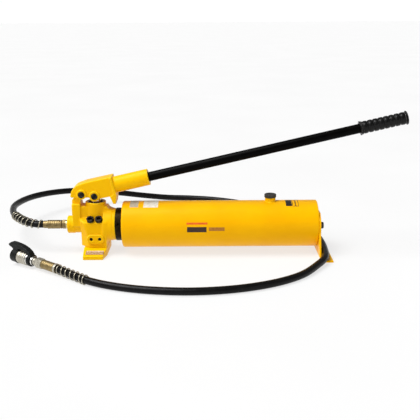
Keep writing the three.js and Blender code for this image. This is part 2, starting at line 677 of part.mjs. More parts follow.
// Wire guard wound round the hose, from a distance along it, in the direction of travel.
function springGuard(name, from, { turns, length }) {
  const whole = hoseCurve.getLength();
  const frameAt = (t) => {
    const u = (from + length * t) / whole;
    const centre = hoseCurve.getPointAt(u);
    const ahead = hoseCurve.getTangentAt(u);
    const side = new THREE.Vector3().crossVectors(ahead, new THREE.Vector3(0, 0, 1)).normalize();
    return { centre, side, up: new THREE.Vector3().crossVectors(side, ahead) };
  };
  const helix = new Helix(frameAt, GUARD.radius, turns);
  return piece(name, coil(helix, GUARD.wire, turns * GUARD.stepsPerTurn, GUARD.sides), SPRING_WIRE);
}

// The coupler's swaged ferrule: the profile runs from the hose end, with a bead and a groove.
function ferruleSolid(from, length) {
  const { radius, bore } = FERRULE;
  const to = from + length;
  return turnedZ(closed([[bore, from], [radius + 0.3, from], [radius + 0.3, from + 3.5],
    [radius - 0.9, from + 4.2], [radius - 0.9, from + 5.4], [radius, from + 6], [radius, to - 1],
    [radius - 1, to], [bore, to]]), 16);
}

// Ferrule at the pump, with a narrower crimped skirt at the hose end.
function pumpFerrule() {
  const { radius, bore, pumpFrom: from, pumpTo: to, skirt, skirtRadius } = FERRULE;
  return turnedZ(closed([[bore, from], [radius - 0.6, from], [radius, from + 0.8],
    [radius, from + 2.4], [radius - 0.8, from + 3], [radius - 0.8, from + 4], [radius, from + 4.6],
    [radius, to - 1], [skirtRadius, to], [skirtRadius, to + skirt], [bore, to + skirt]]), 16);
}

// Hose end in the pump's outlet: bonded washer, hexagon nipple and ferrule, all along -X.
function outletFitting() {
  const nipple = join(
    turnedZ(discProfile(8.2, -14, 5), 16),
    alongZ(hexShape(17.5), 4.9, 12.8),
    turnedZ(discProfile(5, 12, 50), 12)).subtract(turnedZ(discProfile(2.5, -15, 51), 8));
  const group = new THREE.Group();
  group.add(
    piece('outlet_washer', turnedZ(ringProfile(8.6, 9.4, GAP, 4.6), 16), ZINC),
    piece('hose_nipple', nipple, OLIVE_ZINC),
    piece('pump_ferrule', pumpFerrule(), OLIVE_ZINC));
  group.position.set(OUTLET.left, 0, AXIS_Z);
  group.rotation.y = -Math.PI / 2;
  return group;
}

// The coupler is turned about its own +Z, which runs from the hose towards the dust cap.
function couplerSet() {
  const ferrule = ferruleSolid(0, 40);
  const hexPart = join(turnedZ(discProfile(5, 6, 41), 12), alongZ(hexShape(19), 40.3, 57),
    turnedZ(discProfile(7.6, 56, 66), 16), turnedZ(discProfile(5.6, 66, 74), 16))
    .subtract(turnedZ(discProfile(2.6, 5, 75), 8));
  const body = turnedZ(closed([[5.9, 66.4], [9.5, 66.4], [9.5, 80], [11.5, 81], [11.5, 118],
    [7, 118], [7, 84], [5.9, 84]]), 18);
  const sleeve = turnedZ(closed([[11.9, 84.3], [13.6, 84.3], [13.6, 91], [12.9, 92], [12.9, 94],
    [13.6, 95], [13.6, 108], [11.9, 108]]), 20);
  const poppet = turnedZ([[0, 96], [4, 96], [4, 112], [6.4, 113], [6.4, 115.5], [0, 115.5]], 12);
  const group = new THREE.Group();
  group.add(
    piece('coupler_ferrule', ferrule, OLIVE_ZINC),
    piece('coupler_nipple', hexPart, ZINC),
    piece('coupler_body', body, ZINC),
    piece('coupler_sleeve', sleeve, ZINC),
    piece('coupler_poppet', poppet, STEEL),
    piece('dust_cap', dustCap(), RUBBER));
  const axis = new THREE.Vector3().subVectors(COUPLER_END, COUPLER_START).normalize();
  group.position.copy(COUPLER_START);
  group.quaternion.copy(couplerTurn(axis));
  return group;
}

// Turns +Z onto the coupler's axis, with +X of the set pointing up as far as it can.
function couplerTurn(axis) {
  const side = new THREE.Vector3().crossVectors(axis, new THREE.Vector3(0, 0, 1)).normalize();
  const up = new THREE.Vector3().crossVectors(side, axis);
  return new THREE.Quaternion().setFromRotationMatrix(
    new THREE.Matrix4().makeBasis(up, side, axis));
}

// Rubber cup over the coupler's mouth, a strap along the top, and a loop behind the sleeve.
function dustCap() {
  const cup = turnedZ([[0, 121], [12.2, 121], [12.2, 108.6], [14.2, 108.6], [14.2, 123.5], [12.6, 126.5],
    [0, 126.5]], 20);
  const loop = turnedZ(ringProfile(9.9, 12.8, 71, 79), 20);
  const strapSide = outline([[71, 10], [71, 13], [75, 18], [84, 23], [96, 27], [108, 28], [120, 27.3],
    [130, 28], [136.4, 23.6], [136.4, 20.2], [127, 17], [122, 12.7], [109.5, 12.7], [109.5, 14.3], [84, 14.3],
    [79, 12], [79, 10]]);
  const strap = solidOf(extruded(strapSide, 13).translate(0, 0, -6.5)
    .applyMatrix4(new THREE.Matrix4().makeBasis(new THREE.Vector3(0, 0, 1),
      new THREE.Vector3(1, 0, 0), new THREE.Vector3(0, 1, 0))));
  return join(cup, loop, strap);
}

// ---- assembly ----------------------------------------------------------------------------

const pump = new THREE.Group();
pump.add(
  pumpBody(),
  frontFoot(),
  footScrew('foot_screw_near', -22),
  footScrew('foot_screw_far', 22),
  badgePlate(),
  glandNut(),
  wiperSeal(),
  plungerSeal(),
  reliefValve('low', -PLUG.x),
  reliefValve('high', PLUG.x),
  yoke(),
  onHandle(handleTube(), handleGrip()),
  ...pinWithRing('fulcrum', FULCRUM),
  ...pinWithRing('plunger', PLUNGER_PIN),
  plunger(),
  ...checkValves(),
  ...releaseValve(),
  lockRing(),
  neckSeal(),
  tankShell(),
  ...tankPlates(),
  ...suctionLine(),
  ...filler(),
  rearFoot(),
  ...tieBolt(),
  outletFitting(),
  hose(),
  springGuard('pump_spring_guard', 1, PUMP_GUARD),
  springGuard('coupler_spring_guard', hoseCurve.getLength() - COUPLER_GUARD.length - 1,
    COUPLER_GUARD),
  couplerSet());

export default pump;
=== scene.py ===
"""Looks of a hydraulic hand pump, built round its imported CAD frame.

Builders below work in millimetres and turn their meshes into metres. The frame is the CAD's:
X = 0 is the plunger's axis, Y = 0 the plane that the handle swings in, Z = 0 the floor, and +X
runs along the tank.
"""

from math import atan2, cos, pi, radians, sin, sqrt, tan
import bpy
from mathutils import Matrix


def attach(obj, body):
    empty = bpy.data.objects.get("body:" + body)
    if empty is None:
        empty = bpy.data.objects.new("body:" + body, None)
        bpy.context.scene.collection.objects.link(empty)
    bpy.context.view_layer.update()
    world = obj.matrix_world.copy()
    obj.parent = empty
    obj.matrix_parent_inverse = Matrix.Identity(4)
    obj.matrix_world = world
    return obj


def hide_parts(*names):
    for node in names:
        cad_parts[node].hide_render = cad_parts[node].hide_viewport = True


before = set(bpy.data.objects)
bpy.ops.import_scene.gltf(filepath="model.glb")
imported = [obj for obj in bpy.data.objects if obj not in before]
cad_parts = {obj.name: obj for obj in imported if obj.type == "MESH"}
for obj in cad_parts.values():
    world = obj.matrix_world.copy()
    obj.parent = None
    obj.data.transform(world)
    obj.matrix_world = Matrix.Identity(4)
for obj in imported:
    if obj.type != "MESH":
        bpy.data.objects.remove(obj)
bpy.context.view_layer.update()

from types import SimpleNamespace as Sizes

import bmesh
import bpy
import numpy as np
from mathutils import Matrix, Vector

MM = 0.001

# ---- main dimensions, in millimetres, the same as the CAD's

GAP = 0.3
AXIS_Z = 61.0
AXIS = (0, AXIS_Z)
TANK = Sizes(radius=50.0, wall=3.0, front=58.0, rear=475.0)
RING = Sizes(radius=35.6, front=43.3, rear=57.7, hole=2.5, clock=15.0)
STUB = Sizes(radius=24.0, rear=73)
HEAD = Sizes(left=-32, right=24, half_width=32, bottom=18, top=86, shoulder=73)
BARREL = Sizes(radius=22, top=113)
POST = Sizes(left=-49, right=-31, half_width=20, ledge=111)
TONGUE = Sizes(half_width=12, eye=10)
OUTLET = Sizes(left=-62.0, radius=19)
FULCRUM = (-26.7, 131.7)
PLUNGER_PIN = (0.8, 128.0)
PIN_BORE = 5.4
YOKE = Sizes(half_width=18, inner=12.5, boss_half=21, lug_half=20.4)
HANDLE_FOOT = (45.0, 0.0, 149.4)
HANDLE_TILT = 12.8
SOCKET = Sizes(radius=17.6, bore=10.2, end=72.6)
TUBE = Sizes(inner=7.9, outer=9.9, start=4.3, end=618.6)
GRIP = Sizes(start=527.2, end=628, bore=10.2, first_rib=533.8, ribs=8, pitch=11.2)
PLUNGER = Sizes(radius=11.5, stem=6, bottom=54, step=77, top=137)
SLOT = Sizes(x=-0.6, length=14.4, height=11.2)
PLUG = Sizes(x=9.0, y=-26.2, z=76.0, tilt=28.0, radius=7.75, height=8.0, across=8.0)
PAD = Sizes(x=0.8, z=36.9, length=37, height=20, pitch=18.0, hole=3.7)
FOOT = Sizes(front=62, toe=8.5, screw_y=22, well=8.8)
SCREW_BORE = 5.4
RELEASE_Z = 38.0
REAR_FOOT = Sizes(plate=4, half_span=86, waist=68, reach=26, lift=50.2, top=92, top_half=32)
FILLER = Sizes(x=375.0, neck=11.25, bore=9.8, top=118.6)
TIE = Sizes(z=55.0, washer=16.5, hole=4.6)
COUPLER_START = (-58.0, -148.0, 13.5)
COUPLER_END = (-167.0, -72.0, 19.5)

HOSE_DIAMETER = 0.015
HOSE_ROUTE = [
    (-0.116, 0, 0.061), (-0.131, 0.0002, 0.0615), (-0.148, 0.0075, 0.0625),
    (-0.170, 0.028, 0.0635), (-0.192, 0.060, 0.0635), (-0.210, 0.104, 0.062),
    (-0.220, 0.155, 0.0605), (-0.216, 0.208, 0.0585), (-0.200, 0.262, 0.0555),
    (-0.168, 0.313, 0.0515), (-0.124, 0.352, 0.0465), (-0.066, 0.383, 0.038),
    (0, 0.402, 0.027), (0.066, 0.416, 0.0155), (0.130, 0.420, 0.0086),
    (0.190, 0.415, 0.0077), (0.262, 0.395, 0.0077), (0.330, 0.357, 0.0077),
    (0.392, 0.300, 0.0077), (0.440, 0.230, 0.008), (0.468, 0.155, 0.0103),
    (0.4825, 0.098, 0.0123), (0.490, 0.035, 0.0122), (0.4905, -0.025, 0.0122),
    (0.4825, -0.088, 0.0123), (0.460, -0.127, 0.0098), (0.425, -0.172, 0.0077),
    (0.372, -0.212, 0.0077), (0.300, -0.241, 0.0077), (0.215, -0.2535, 0.0077),
    (0.130, -0.246, 0.0077), (0.060, -0.225, 0.0079), (0.012, -0.202, 0.0094),
    (-0.022, -0.177, 0.0118), (-0.0573, -0.1485, 0.0135),
]

# ---- camera

CAMERA_PLACE = (0.2455, -1.4345, 0.4996)
CAMERA_PITCH = radians(15.9)
CAMERA_ROLL = radians(-0.36)
CAMERA_LENS = 59.23
SENSOR = 36.0


def placed(name, data):
    """A new object of that data, in the scene."""
    made = bpy.data.objects.new(name, data)
    bpy.context.scene.collection.objects.link(made)
    return made


def make_camera():
    data = bpy.data.cameras.new("camera")
    data.sensor_width = SENSOR
    data.lens = CAMERA_LENS
    data.clip_start = 0.05
    data.clip_end = 50
    camera = placed("camera", data)
    turn = Matrix.Rotation(pi / 2 - CAMERA_PITCH, 4, "X") @ Matrix.Rotation(CAMERA_ROLL, 4, "Z")
    camera.matrix_world = Matrix.Translation(CAMERA_PLACE) @ turn
    bpy.context.scene.camera = camera


make_camera()


# ---- materials


def set_range(node, *ends):
    for label, value in zip(("From Min", "From Max", "To Min", "To Max"), ends):
        node.inputs[label].default_value = value


class Look:
    """A procedural material: the Principled shader with short calls for the nodes before it."""

    def __init__(self, name, **sockets):
        self.material = bpy.data.materials.new(name)
        self.material.use_nodes = True
        self.tree = self.material.node_tree
        self.shader = self.tree.nodes["Principled BSDF"]
        self.normal = None
        self.place = self.node("TexCoord").outputs["Object"]
        for label, value in sockets.items():
            self.shader.inputs[label.replace("_", " ")].default_value = value

    def node(self, kind, settings=None, **sockets):
        node = self.tree.nodes.new("ShaderNode" + kind)
        for label, value in (settings or {}).items():
            setattr(node, label, value)
        for label, value in sockets.items():
            self.feed(node.inputs[label], value)
        return node

    def feed(self, socket, value):
        if isinstance(value, bpy.types.NodeSocket):
            self.tree.links.new(value, socket)
        else:
            socket.default_value = value

    def noise(self, scale, detail=4.0, rough=0.55, along=(1, 1, 1)):
        where = self.node("Mapping", Vector=self.place, Scale=along)
        return self.node("TexNoise", Vector=where.outputs["Vector"], Scale=scale,
                         Detail=detail, Roughness=rough).outputs["Fac"]

    def edges(self, low, high):
        """By pointiness: 0 in the flat, 1 on sharp outer edges; with low above high, 1 in hollows."""
        pointed = self.node("NewGeometry").outputs["Pointiness"]
        return self.ranged(pointed, low, high, 0.0, 1.0)

    def ranged(self, source, low, high, to_low, to_high):
        node = self.node("MapRange", Value=source)
        set_range(node, low, high, to_low, to_high)
        return node.outputs["Result"]

    def ramp(self, source, *stops):
        """Colours along a 0..1 value, each stop a (place, colour)."""
        node = self.node("ValToRGB", Fac=source)
        marks = node.color_ramp.elements
        while len(marks) < len(stops):
            marks.new(0.5)
        for mark, (at, colour) in zip(marks, stops):
            mark.position = at
            mark.color = (*colour, 1)
        return node.outputs["Color"]

    def mixed(self, factor, a, b):
        node = self.node("Mix", {"data_type": "RGBA"})
        self.feed(node.inputs["Factor"], factor)
        for socket, value in ((node.inputs[6], a), (node.inputs[7], b)):
            self.feed(socket, value if isinstance(value, bpy.types.NodeSocket) else (*value, 1))
        return node.outputs[2]

    def bump(self, height, distance, strength=1.0):
        sockets = {"Height": height, "Distance": distance, "Strength": strength}
        if self.normal is not None:
            sockets["Normal"] = self.normal
        self.normal = self.node("Bump", **sockets).outputs["Normal"]
        return self

    def done(self, colour, gloss=None, low=0.0, high=1.0):
        """The finished material. Where a gloss is given, roughness follows it from low to high."""
        self.tree.links.new(colour, self.shader.inputs["Base Color"])
        if gloss is not None:
            rough = self.ranged(gloss, 0.3, 0.7, low, high)
            self.tree.links.new(rough, self.shader.inputs["Roughness"])
        if self.normal is not None:
            self.tree.links.new(self.normal, self.shader.inputs["Normal"])
        return self.material


PAINT_GLEAM = (1.0, 0.85, 0.25, 1.0)


def enamel(name, green, cast):
    """Yellow enamel. On castings the sand texture shows through it, thin outer edges get a pale painted
    highlight and hollows a darker painted shade.
    """
    look = Look(name, Specular_IOR_Level=0.22, Specular_Tint=PAINT_GLEAM)
    colour = look.ramp(look.noise(14, 3), (0.3, (0.9, green - 0.035, 0.0)), (0.5, (0.93, green, 0.0)),
                       (0.75, (0.95, green + 0.03, 0.0)))
    if cast:
        # painted highlight: pale yellow along the casting's sharp outer edges
        colour = look.mixed(look.edges(0.51, 0.56), colour, (1.0, 0.74, 0.02))
        # painted shade: darker orange in the casting's hollows and fillets
        colour = look.mixed(look.edges(0.48, 0.42), colour, (0.5, 0.2, 0.0))
        look.bump(look.noise(420, 3), 0.00035, 0.5)
        look.bump(look.noise(90, 2), 0.0006, 0.25)
    speck = look.ranged(look.noise(700, 1), 0.76, 0.8, 0.0, 0.35)
    colour = look.mixed(speck, colour, (0.55, 0.3, 0.02))
    look.bump(look.noise(1500 if cast else 900, 2), 0.00006, 0.35)
    return look.done(colour, look.noise(30, 5, 0.65), 0.28, 0.44)


def metal(name, dark, middle, light, rough, grain, edge=None, along=(1, 1, 1)):
    """Plated or machined metal: cloudy colour, turning grain in the bump, smears in the gloss."""
    look = Look(name, Metallic=1.0)
    colour = look.ramp(look.noise(160, 5, 0.65), (0.3, dark), (0.5, middle), (0.72, light))
    if edge is not None:
        colour = look.mixed(look.edges(0.53, 0.62), colour, edge)
    look.bump(look.noise(grain, 3, 0.6, along), 0.00006, 0.5)
    return look.done(colour, look.noise(240, 4), rough - 0.08, rough + 0.12)


def rubber(name, dark, light, rough, fine, groove_dust_and_highlight=False):
    """Black rubber with grey specks of dust. Its grooves can be made pale grey: dust, which also paints in
    a highlight for the light on the groove flanks.
    """
    look = Look(name, Specular_IOR_Level=0.2 if groove_dust_and_highlight else 0.13)
    colour = look.ramp(look.noise(60, 5, 0.7), (0.35, dark), (0.7, light))
    dust = look.ranged(look.noise(900, 2), 0.68, 0.8, 0.0, 0.2)
    colour = look.mixed(dust, colour, (0.1, 0.095, 0.09))
    if groove_dust_and_highlight:
        # painted highlight: pale grey in the grooves, laid on as dust
        colour = look.mixed(look.edges(0.49, 0.455), colour, (0.2, 0.195, 0.19))
    look.bump(look.noise(fine, 3), 0.00012, 0.4)
    return look.done(colour, look.noise(110, 4), rough - 0.07, rough + 0.1)


def powder_coat(name):
    """Black coat of the handle tube: fine pimples under a gloss, with pale scuffs."""
    look = Look(name, Specular_IOR_Level=0.035)
    colour = look.ramp(look.noise(50, 4), (0.3, (0.0006, 0.0006, 0.0006)), (0.7, (0.002, 0.0018, 0.0015)))
    scuff = look.ranged(look.noise(260, 4, 0.7, (0.12, 1, 1)), 0.68, 0.76, 0.0, 0.3)
    colour = look.mixed(scuff, colour, (0.03, 0.028, 0.027))
    look.bump(look.noise(1300, 2), 0.00008, 0.4)
    return look.done(colour, look.noise(40, 3), 0.22, 0.4)


def print_ink(name, colour, shade):
    look = Look(name, Specular_IOR_Level=0.4)
    tone = look.ramp(look.noise(240, 4), (0.35, shade), (0.65, colour))
    look.bump(look.noise(1100, 2), 0.00005, 0.3)
    return look.done(tone, look.noise(90, 3), 0.3, 0.45)


LOOKS = {
    "paint": enamel("yellow_enamel", 0.46, False),
    "cast": enamel("yellow_cast_enamel", 0.5, True),
    "handle": powder_coat("black_powder_coat"),
    "ring": metal("brown_black_oxide", (0.009, 0.006, 0.004), (0.016, 0.011, 0.006), (0.028, 0.02, 0.01),
                  0.34, 900, (0.12, 0.09, 0.045), (12, 1, 1)),
    "black": metal("black_oxide", (0.012, 0.011, 0.011), (0.022, 0.02, 0.02), (0.05, 0.046, 0.044),
                   0.36, 1200, (0.16, 0.15, 0.14)),
    "dark_steel": metal("dark_phosphate", (0.03, 0.03, 0.032), (0.055, 0.055, 0.058), (0.1, 0.1, 0.1),
                        0.42, 900, (0.25, 0.25, 0.25)),
    "chrome": metal("hard_chrome", (0.62, 0.62, 0.64), (0.74, 0.74, 0.76), (0.84, 0.84, 0.86),
                    0.14, 1600, None, (1, 1, 14)),
    "steel": metal("machined_steel", (0.36, 0.36, 0.35), (0.5, 0.5, 0.48), (0.64, 0.63, 0.6),
                   0.3, 1200, (0.75, 0.74, 0.7), (1, 1, 10)),
    "zinc": metal("bright_zinc", (0.78, 0.76, 0.7), (0.86, 0.84, 0.79), (0.93, 0.92, 0.88),
                  0.22, 900, (0.97, 0.96, 0.93)),
    "nickel": metal("satin_nickel", (0.44, 0.41, 0.34), (0.5, 0.47, 0.39), (0.56, 0.53, 0.45),
                    0.46, 900, (0.75, 0.72, 0.64)),
    "olive": metal("olive_passivate", (0.2, 0.145, 0.06), (0.3, 0.22, 0.1), (0.36, 0.27, 0.13),
                   0.42, 800, (0.46, 0.38, 0.21)),
    "gold": metal("pale_gold_plate", (0.5, 0.38, 0.17), (0.68, 0.55, 0.28), (0.84, 0.72, 0.42),
                  0.26, 900, (0.9, 0.82, 0.56)),
    "wire": metal("spring_wire", (0.28, 0.25, 0.18), (0.42, 0.39, 0.3), (0.58, 0.54, 0.44),
                  0.28, 1400),
    "hose": rubber("hose_cover", (0.002, 0.002, 0.002), (0.006, 0.0055, 0.0055), 0.3, 900),
    "grip": rubber("grip_rubber", (0.001, 0.001, 0.001), (0.004, 0.004, 0.004), 0.24, 700, True),
    "cap_rubber": rubber("cap_rubber", (0.004, 0.0045, 0.004), (0.014, 0.016, 0.015), 0.34, 600),
    "seal": rubber("seal_rubber", (0.02, 0.017, 0.015), (0.04, 0.034, 0.03), 0.5, 800),
    "plastic": rubber("cap_plastic", (0.036, 0.033, 0.029), (0.07, 0.066, 0.059), 0.4, 900),
    "badge": metal("badge_alloy", (0.4, 0.3, 0.22), (0.52, 0.41, 0.32), (0.62, 0.52, 0.43),
                   0.46, 1500, None, (0.05, 1, 1)),
    "ink_dark": print_ink("dark_ink", (0.05, 0.022, 0.006), (0.03, 0.012, 0.004)),
    "ink_orange": print_ink("orange_ink", (0.9, 0.16, 0.008), (0.7, 0.1, 0.004)),
    "ink_brown": print_ink("brown_ink", (0.5, 0.2, 0.01), (0.36, 0.13, 0.008)),
    "ink_black": print_ink("black_film", (0.022, 0.019, 0.016), (0.012, 0.01, 0.009)),
    "film_white": print_ink("white_film", (0.82, 0.8, 0.72), (0.66, 0.63, 0.54)),
    "film_grey": print_ink("grey_film", (0.5, 0.47, 0.38), (0.38, 0.35, 0.27)),
}
# The bead ring looks like the nipple.
LOOKS["bead"] = LOOKS["nickel"]


# ---- pieces from meshes


def add_piece(name, points, faces, look, replaces=(), body="root", place=None, sharp=38):
    """A mesh of points in millimetres, put in place, shaded smooth between its sharp edges."""
    mesh = bpy.data.meshes.new(name)
    mesh.from_pydata((np.asarray(points, float) * MM).tolist(), [], faces)
    if place is not None:
        mesh.transform(place)
    mesh.shade_smooth()
    if sharp:
        mesh.set_sharp_from_angle(angle=radians(sharp))
    mesh.materials.append(LOOKS[look])
    return settle(placed(name, mesh), replaces, body)


def settle(made, replaces=(), body="root"):
    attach(made, body)
    if replaces:
        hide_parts(*replaces)
    return made


def frame_of(origin, x, y, z):
    """The matrix, in metres, whose axes and origin (in millimetres) are given."""
    turn = Matrix((x, y, z)).transposed().to_4x4()
    return Matrix.Translation(Vector(origin) * MM) @ turn


# The axes of a piece whose own Z points along a main axis.
TURNS = {
    "+X": ((0, 1, 0), (0, 0, 1), (1, 0, 0)),
    "-X": ((0, -1, 0), (0, 0, 1), (-1, 0, 0)),
    "+Y": ((0, 0, 1), (1, 0, 0), (0, 1, 0)),
    "-Y": ((1, 0, 0), (0, 0, 1), (0, -1, 0)),
    "+Z": ((1, 0, 0), (0, 1, 0), (0, 0, 1)),
}


def facing(axis, origin):
    """Z turned onto a main axis, with its origin in millimetres."""
    return frame_of(origin, *TURNS[axis])


HANDLE_LEAN = radians(90 - HANDLE_TILT)
ON_HANDLE = Matrix.Translation(Vector(HANDLE_FOOT) * MM) @ Matrix.Rotation(HANDLE_LEAN, 4, "Y")


def coupler_frame():
    axis = (Vector(COUPLER_END) - Vector(COUPLER_START)).normalized()
    side = axis.cross(Vector((0, 0, 1))).normalized()
    return frame_of(COUPLER_START, side.cross(axis), side, axis)


ON_COUPLER = coupler_frame()


def rounded(profile, radius, steps=3):
    """A profile of (radius, height) points with its corners rounded, where they have room."""
    made = [profile[0]]
    for before, corner, after in zip(profile, profile[1:], profile[2:]):
        a = np.subtract(before, corner)
        b = np.subtract(after, corner)
        reach = min(radius, 0.45 * np.hypot(*a), 0.45 * np.hypot(*b))
        start = corner + a / np.hypot(*a) * reach
        end = corner + b / np.hypot(*b) * reach
        for i in range(steps + 1):
            t = i / steps
            at = (1 - t) ** 2 * start + 2 * t * (1 - t) * np.array(corner) + t * t * end
            made.append(tuple(at))
    made.append(profile[-1])
    return made


def spun(name, profile, look, replaces=(), body="root", place=None, soften=0.5, sides=96, shape=None,
         closed=False, sharp=38):
    """A turned piece. shape(angle, radius, height) may change the radius, as for a hexagon."""
    line = rounded(profile + [profile[0]] if closed else profile, soften) if soften else list(profile)
    if closed and soften:
        line = line[1:-1]
    points, rows = [], []
    for r, z in line:
        if r < 1e-6:
            rows.append([len(points)] * sides)
            points.append((0, 0, z))
            continue
        rows.append(list(range(len(points), len(points) + sides)))
        for i in range(sides):
            angle = 2 * pi * i / sides
            at = shape(angle, r, z) if shape else r
            points.append((at * cos(angle), at * sin(angle), z))
    pairs = list(zip(rows, rows[1:])) + ([(rows[-1], rows[0])] if closed else [])
    faces = []
    for low, high in pairs:
        for i in range(sides):
            j = (i + 1) % sides
            face = list(dict.fromkeys((low[i], low[j], high[j], high[i])))
            if len(face) > 2:
                faces.append(face)
    made = add_piece(name, points, faces, look, replaces, body, place, sharp)
    face_out(made.data)
    return made


def face_out(mesh):
    work = bmesh.new()
    work.from_mesh(mesh)
    bmesh.ops.recalc_face_normals(work, faces=work.faces)
    work.to_mesh(mesh)
    work.free()


def hexagonal(across):
    """Limits a turned radius to a hexagon of that width across its flats."""
    def shape(angle, radius, height):
        from_flat = (angle + pi / 6) % (pi / 3) - pi / 6
        return min(radius, across / 2 / cos(from_flat))
    return shape


def fluted(count, depth, low, high, least):
    """Flutes on the part of a turned piece between two heights and outside a least radius."""
    def shape(angle, radius, height):
        if not low <= height <= high or radius < least:
            return radius
        return radius - depth * (0.5 - 0.5 * cos(count * angle))
    return shape


def diamond_knurl(count, depth, bands, twist):
    """Crossed grooves within bands of height, as on a coupler's sleeve."""
    def shape(angle, radius, height):
        if not any(low <= height <= high for low, high in bands) or radius < 13:
            return radius
        left = abs(sin(0.5 * count * angle + twist * height))
        right = abs(sin(0.5 * count * angle - twist * height))
        return radius - depth * (1 - min(left, right, 0.6) / 0.6)
    return shape


# ---- pieces from distance fields


class Field:
    """Distances, in millimetres, on a grid of points. Pieces of one casting blend into it."""

    def __init__(self, low, high, step):
        self.low = np.array(low, float)
        self.step = step
        counts = np.ceil((np.array(high, float) - self.low) / step).astype(int) + 1
        grid = [self.low[k] + step * np.arange(counts[k], dtype=np.float32) for k in range(3)]
        self.axes = np.ix_(*(line.astype(np.float32) for line in grid))
        self.value = np.full(counts, 1e3, np.float32)

    def slab(self, k, low, high, soften):
        return np.abs(self.axes[k] - (low + high) / 2) - ((high - low) / 2 - soften)

    def box(self, low, high, soften=0.0):
        return solid_of([self.slab(k, low[k], high[k], soften) for k in range(3)]) - soften

    def rod(self, axis, centre, radius, start, end, soften=0.0):
        """A cylinder along a main axis; centre holds its other two coordinates in order."""
        k = "XYZ".index(axis)
        u, v = [self.axes[i] for i in range(3) if i != k]
        across = np.sqrt((u - centre[0]) ** 2 + (v - centre[1]) ** 2) - (radius - soften)
        return solid_of([across, self.slab(k, start, end, soften)]) - soften

    def post(self, radius, low, high, soften=0.0):
        """A cylinder on the Z axis."""
        return self.rod("Z", (0, 0), radius, low, high, soften)

    def bar(self, start, end, radius, soften=0.0):
        """A cylinder between any two points."""
        start, end = np.array(start, float), np.array(end, float)
        length = np.linalg.norm(end - start)
        d = (end - start) / length
        offset = [self.axes[k] - np.float32(start[k]) for k in range(3)]
        along = offset[0] * d[0] + offset[1] * d[1] + offset[2] * d[2]
        square = offset[0] ** 2 + offset[1] ** 2 + offset[2] ** 2
        across = np.sqrt(np.maximum(square - along ** 2, 0)) - (radius - soften)
        return solid_of([across, np.abs(along - length / 2) - (length / 2 - soften)]) - soften

    def prism(self, axis, outline, start, end, soften=0.0):
        """An outline in the plane of the other two axes, in their order, extruded along one."""
        k = "XYZ".index(axis)
        u, v = [self.axes[i] for i in range(3) if i != k]
        across = polygon(u, v, outline) + soften
        return solid_of([across, self.slab(k, start, end, soften)]) - soften

    def plane(self, point, normal):
        n = np.array(normal, float) / np.linalg.norm(normal)
        return sum(n[k] * (self.axes[k] - point[k]) for k in range(3))

    def join(self, other, fillet=0.0):
        self.value = soft_min(self.value, other, fillet)
        return self

    def carve(self, other, fillet=0.0):
        self.value = -soft_min(-self.value, other, fillet)
        return self

    def keep(self, other, fillet=0.0):
        self.value = -soft_min(-self.value, -other, fillet)
        return self


def solid_of(parts):
    """The distance of a solid from its distances across each of its directions."""
    outside = sum(np.maximum(p, 0) ** 2 for p in parts)
    inside = parts[0]
    for p in parts[1:]:
        inside = np.maximum(inside, p)
    return np.sqrt(outside) + np.minimum(inside, 0)


def soft_min(a, b, fillet):
    if not fillet:
        return np.minimum(a, b)
    h = np.clip(0.5 + 0.5 * (b - a) / fillet, 0, 1).astype(np.float32)
    return b + (a - b) * h - fillet * h * (1 - h)


def polygon(u, v, outline):
    """Signed distance to a polygon, below zero inside it."""
    shape = np.broadcast(u, v).shape
    nearest = np.full(shape, 1e9, np.float32)
    inside = np.zeros(shape, bool)
    for (ax, ay), (bx, by) in zip(outline, outline[1:] + outline[:1]):
        ex, ey = bx - ax, by - ay
        wx, wy = u - ax, v - ay
        t = np.clip((wx * ex + wy * ey) / (ex * ex + ey * ey), 0, 1)
        nearest = np.minimum(nearest, (wx - ex * t) ** 2 + (wy - ey * t) ** 2)
        if ay != by:
            crosses = ((v >= min(ay, by)) & (v < max(ay, by))) & (ax + (v - ay) * ex / ey > u)
            inside ^= np.broadcast_to(crosses, shape)
    return np.where(inside, -np.sqrt(nearest), np.sqrt(nearest)).astype(np.float32)


CORNERS = [(i, j, k) for i in (0, 1) for j in (0, 1) for k in (0, 1)]


def net_of(field):
    """Points and quads of a field's surface: one point in each cell that it passes through."""
    value = field.value
    inside = value < 0
    size = [n - 1 for n in value.shape]
    view = {c: tuple(slice(c[k], c[k] + size[k]) for k in range(3)) for c in CORNERS}
    count = sum(inside[view[c]].astype(np.uint8) for c in CORNERS)
    cells = np.argwhere((count > 0) & (count < 8))
    at = {c: value[tuple((cells + c).T)].astype(float) for c in CORNERS}
    total = np.zeros((len(cells), 3))
    crossings = np.zeros(len(cells))
    for c in CORNERS:
        for k in range(3):
            if c[k]:
                continue
            d = tuple(1 if i == k else c[i] for i in range(3))
            cut = (at[c] < 0) != (at[d] < 0)
            t = np.where(cut, at[c] / np.where(cut, at[c] - at[d], 1), 0)
            point = np.tile(np.array(c, float), (len(cells), 1))
            point[:, k] += t
            total += point * cut[:, None]
            crossings += cut
    local = on_surface(total / crossings[:, None], at)
    index = np.full(size, -1)
    index[tuple(cells.T)] = np.arange(len(cells))
    return field.low + (cells + local) * field.step, quads_of(inside, index)


def on_surface(local, at):
    """Moves each cell's point onto the surface, by the slope between the cell's corners."""
    for _ in range(2):
        weight = {0: 1 - local, 1: local}
        value = 0.0
        slope = np.zeros_like(local)
        for c in CORNERS:
            w = [weight[c[k]][:, k] for k in range(3)]
            value = value + at[c] * w[0] * w[1] * w[2]
            for k in range(3):
                others = [w[i] for i in range(3) if i != k]
                slope[:, k] += at[c] * (1 if c[k] else -1) * others[0] * others[1]
        square = np.maximum((slope ** 2).sum(1), 1e-6)
        local = np.clip(local - (value / square)[:, None] * slope, 0.02, 0.98)
    return local


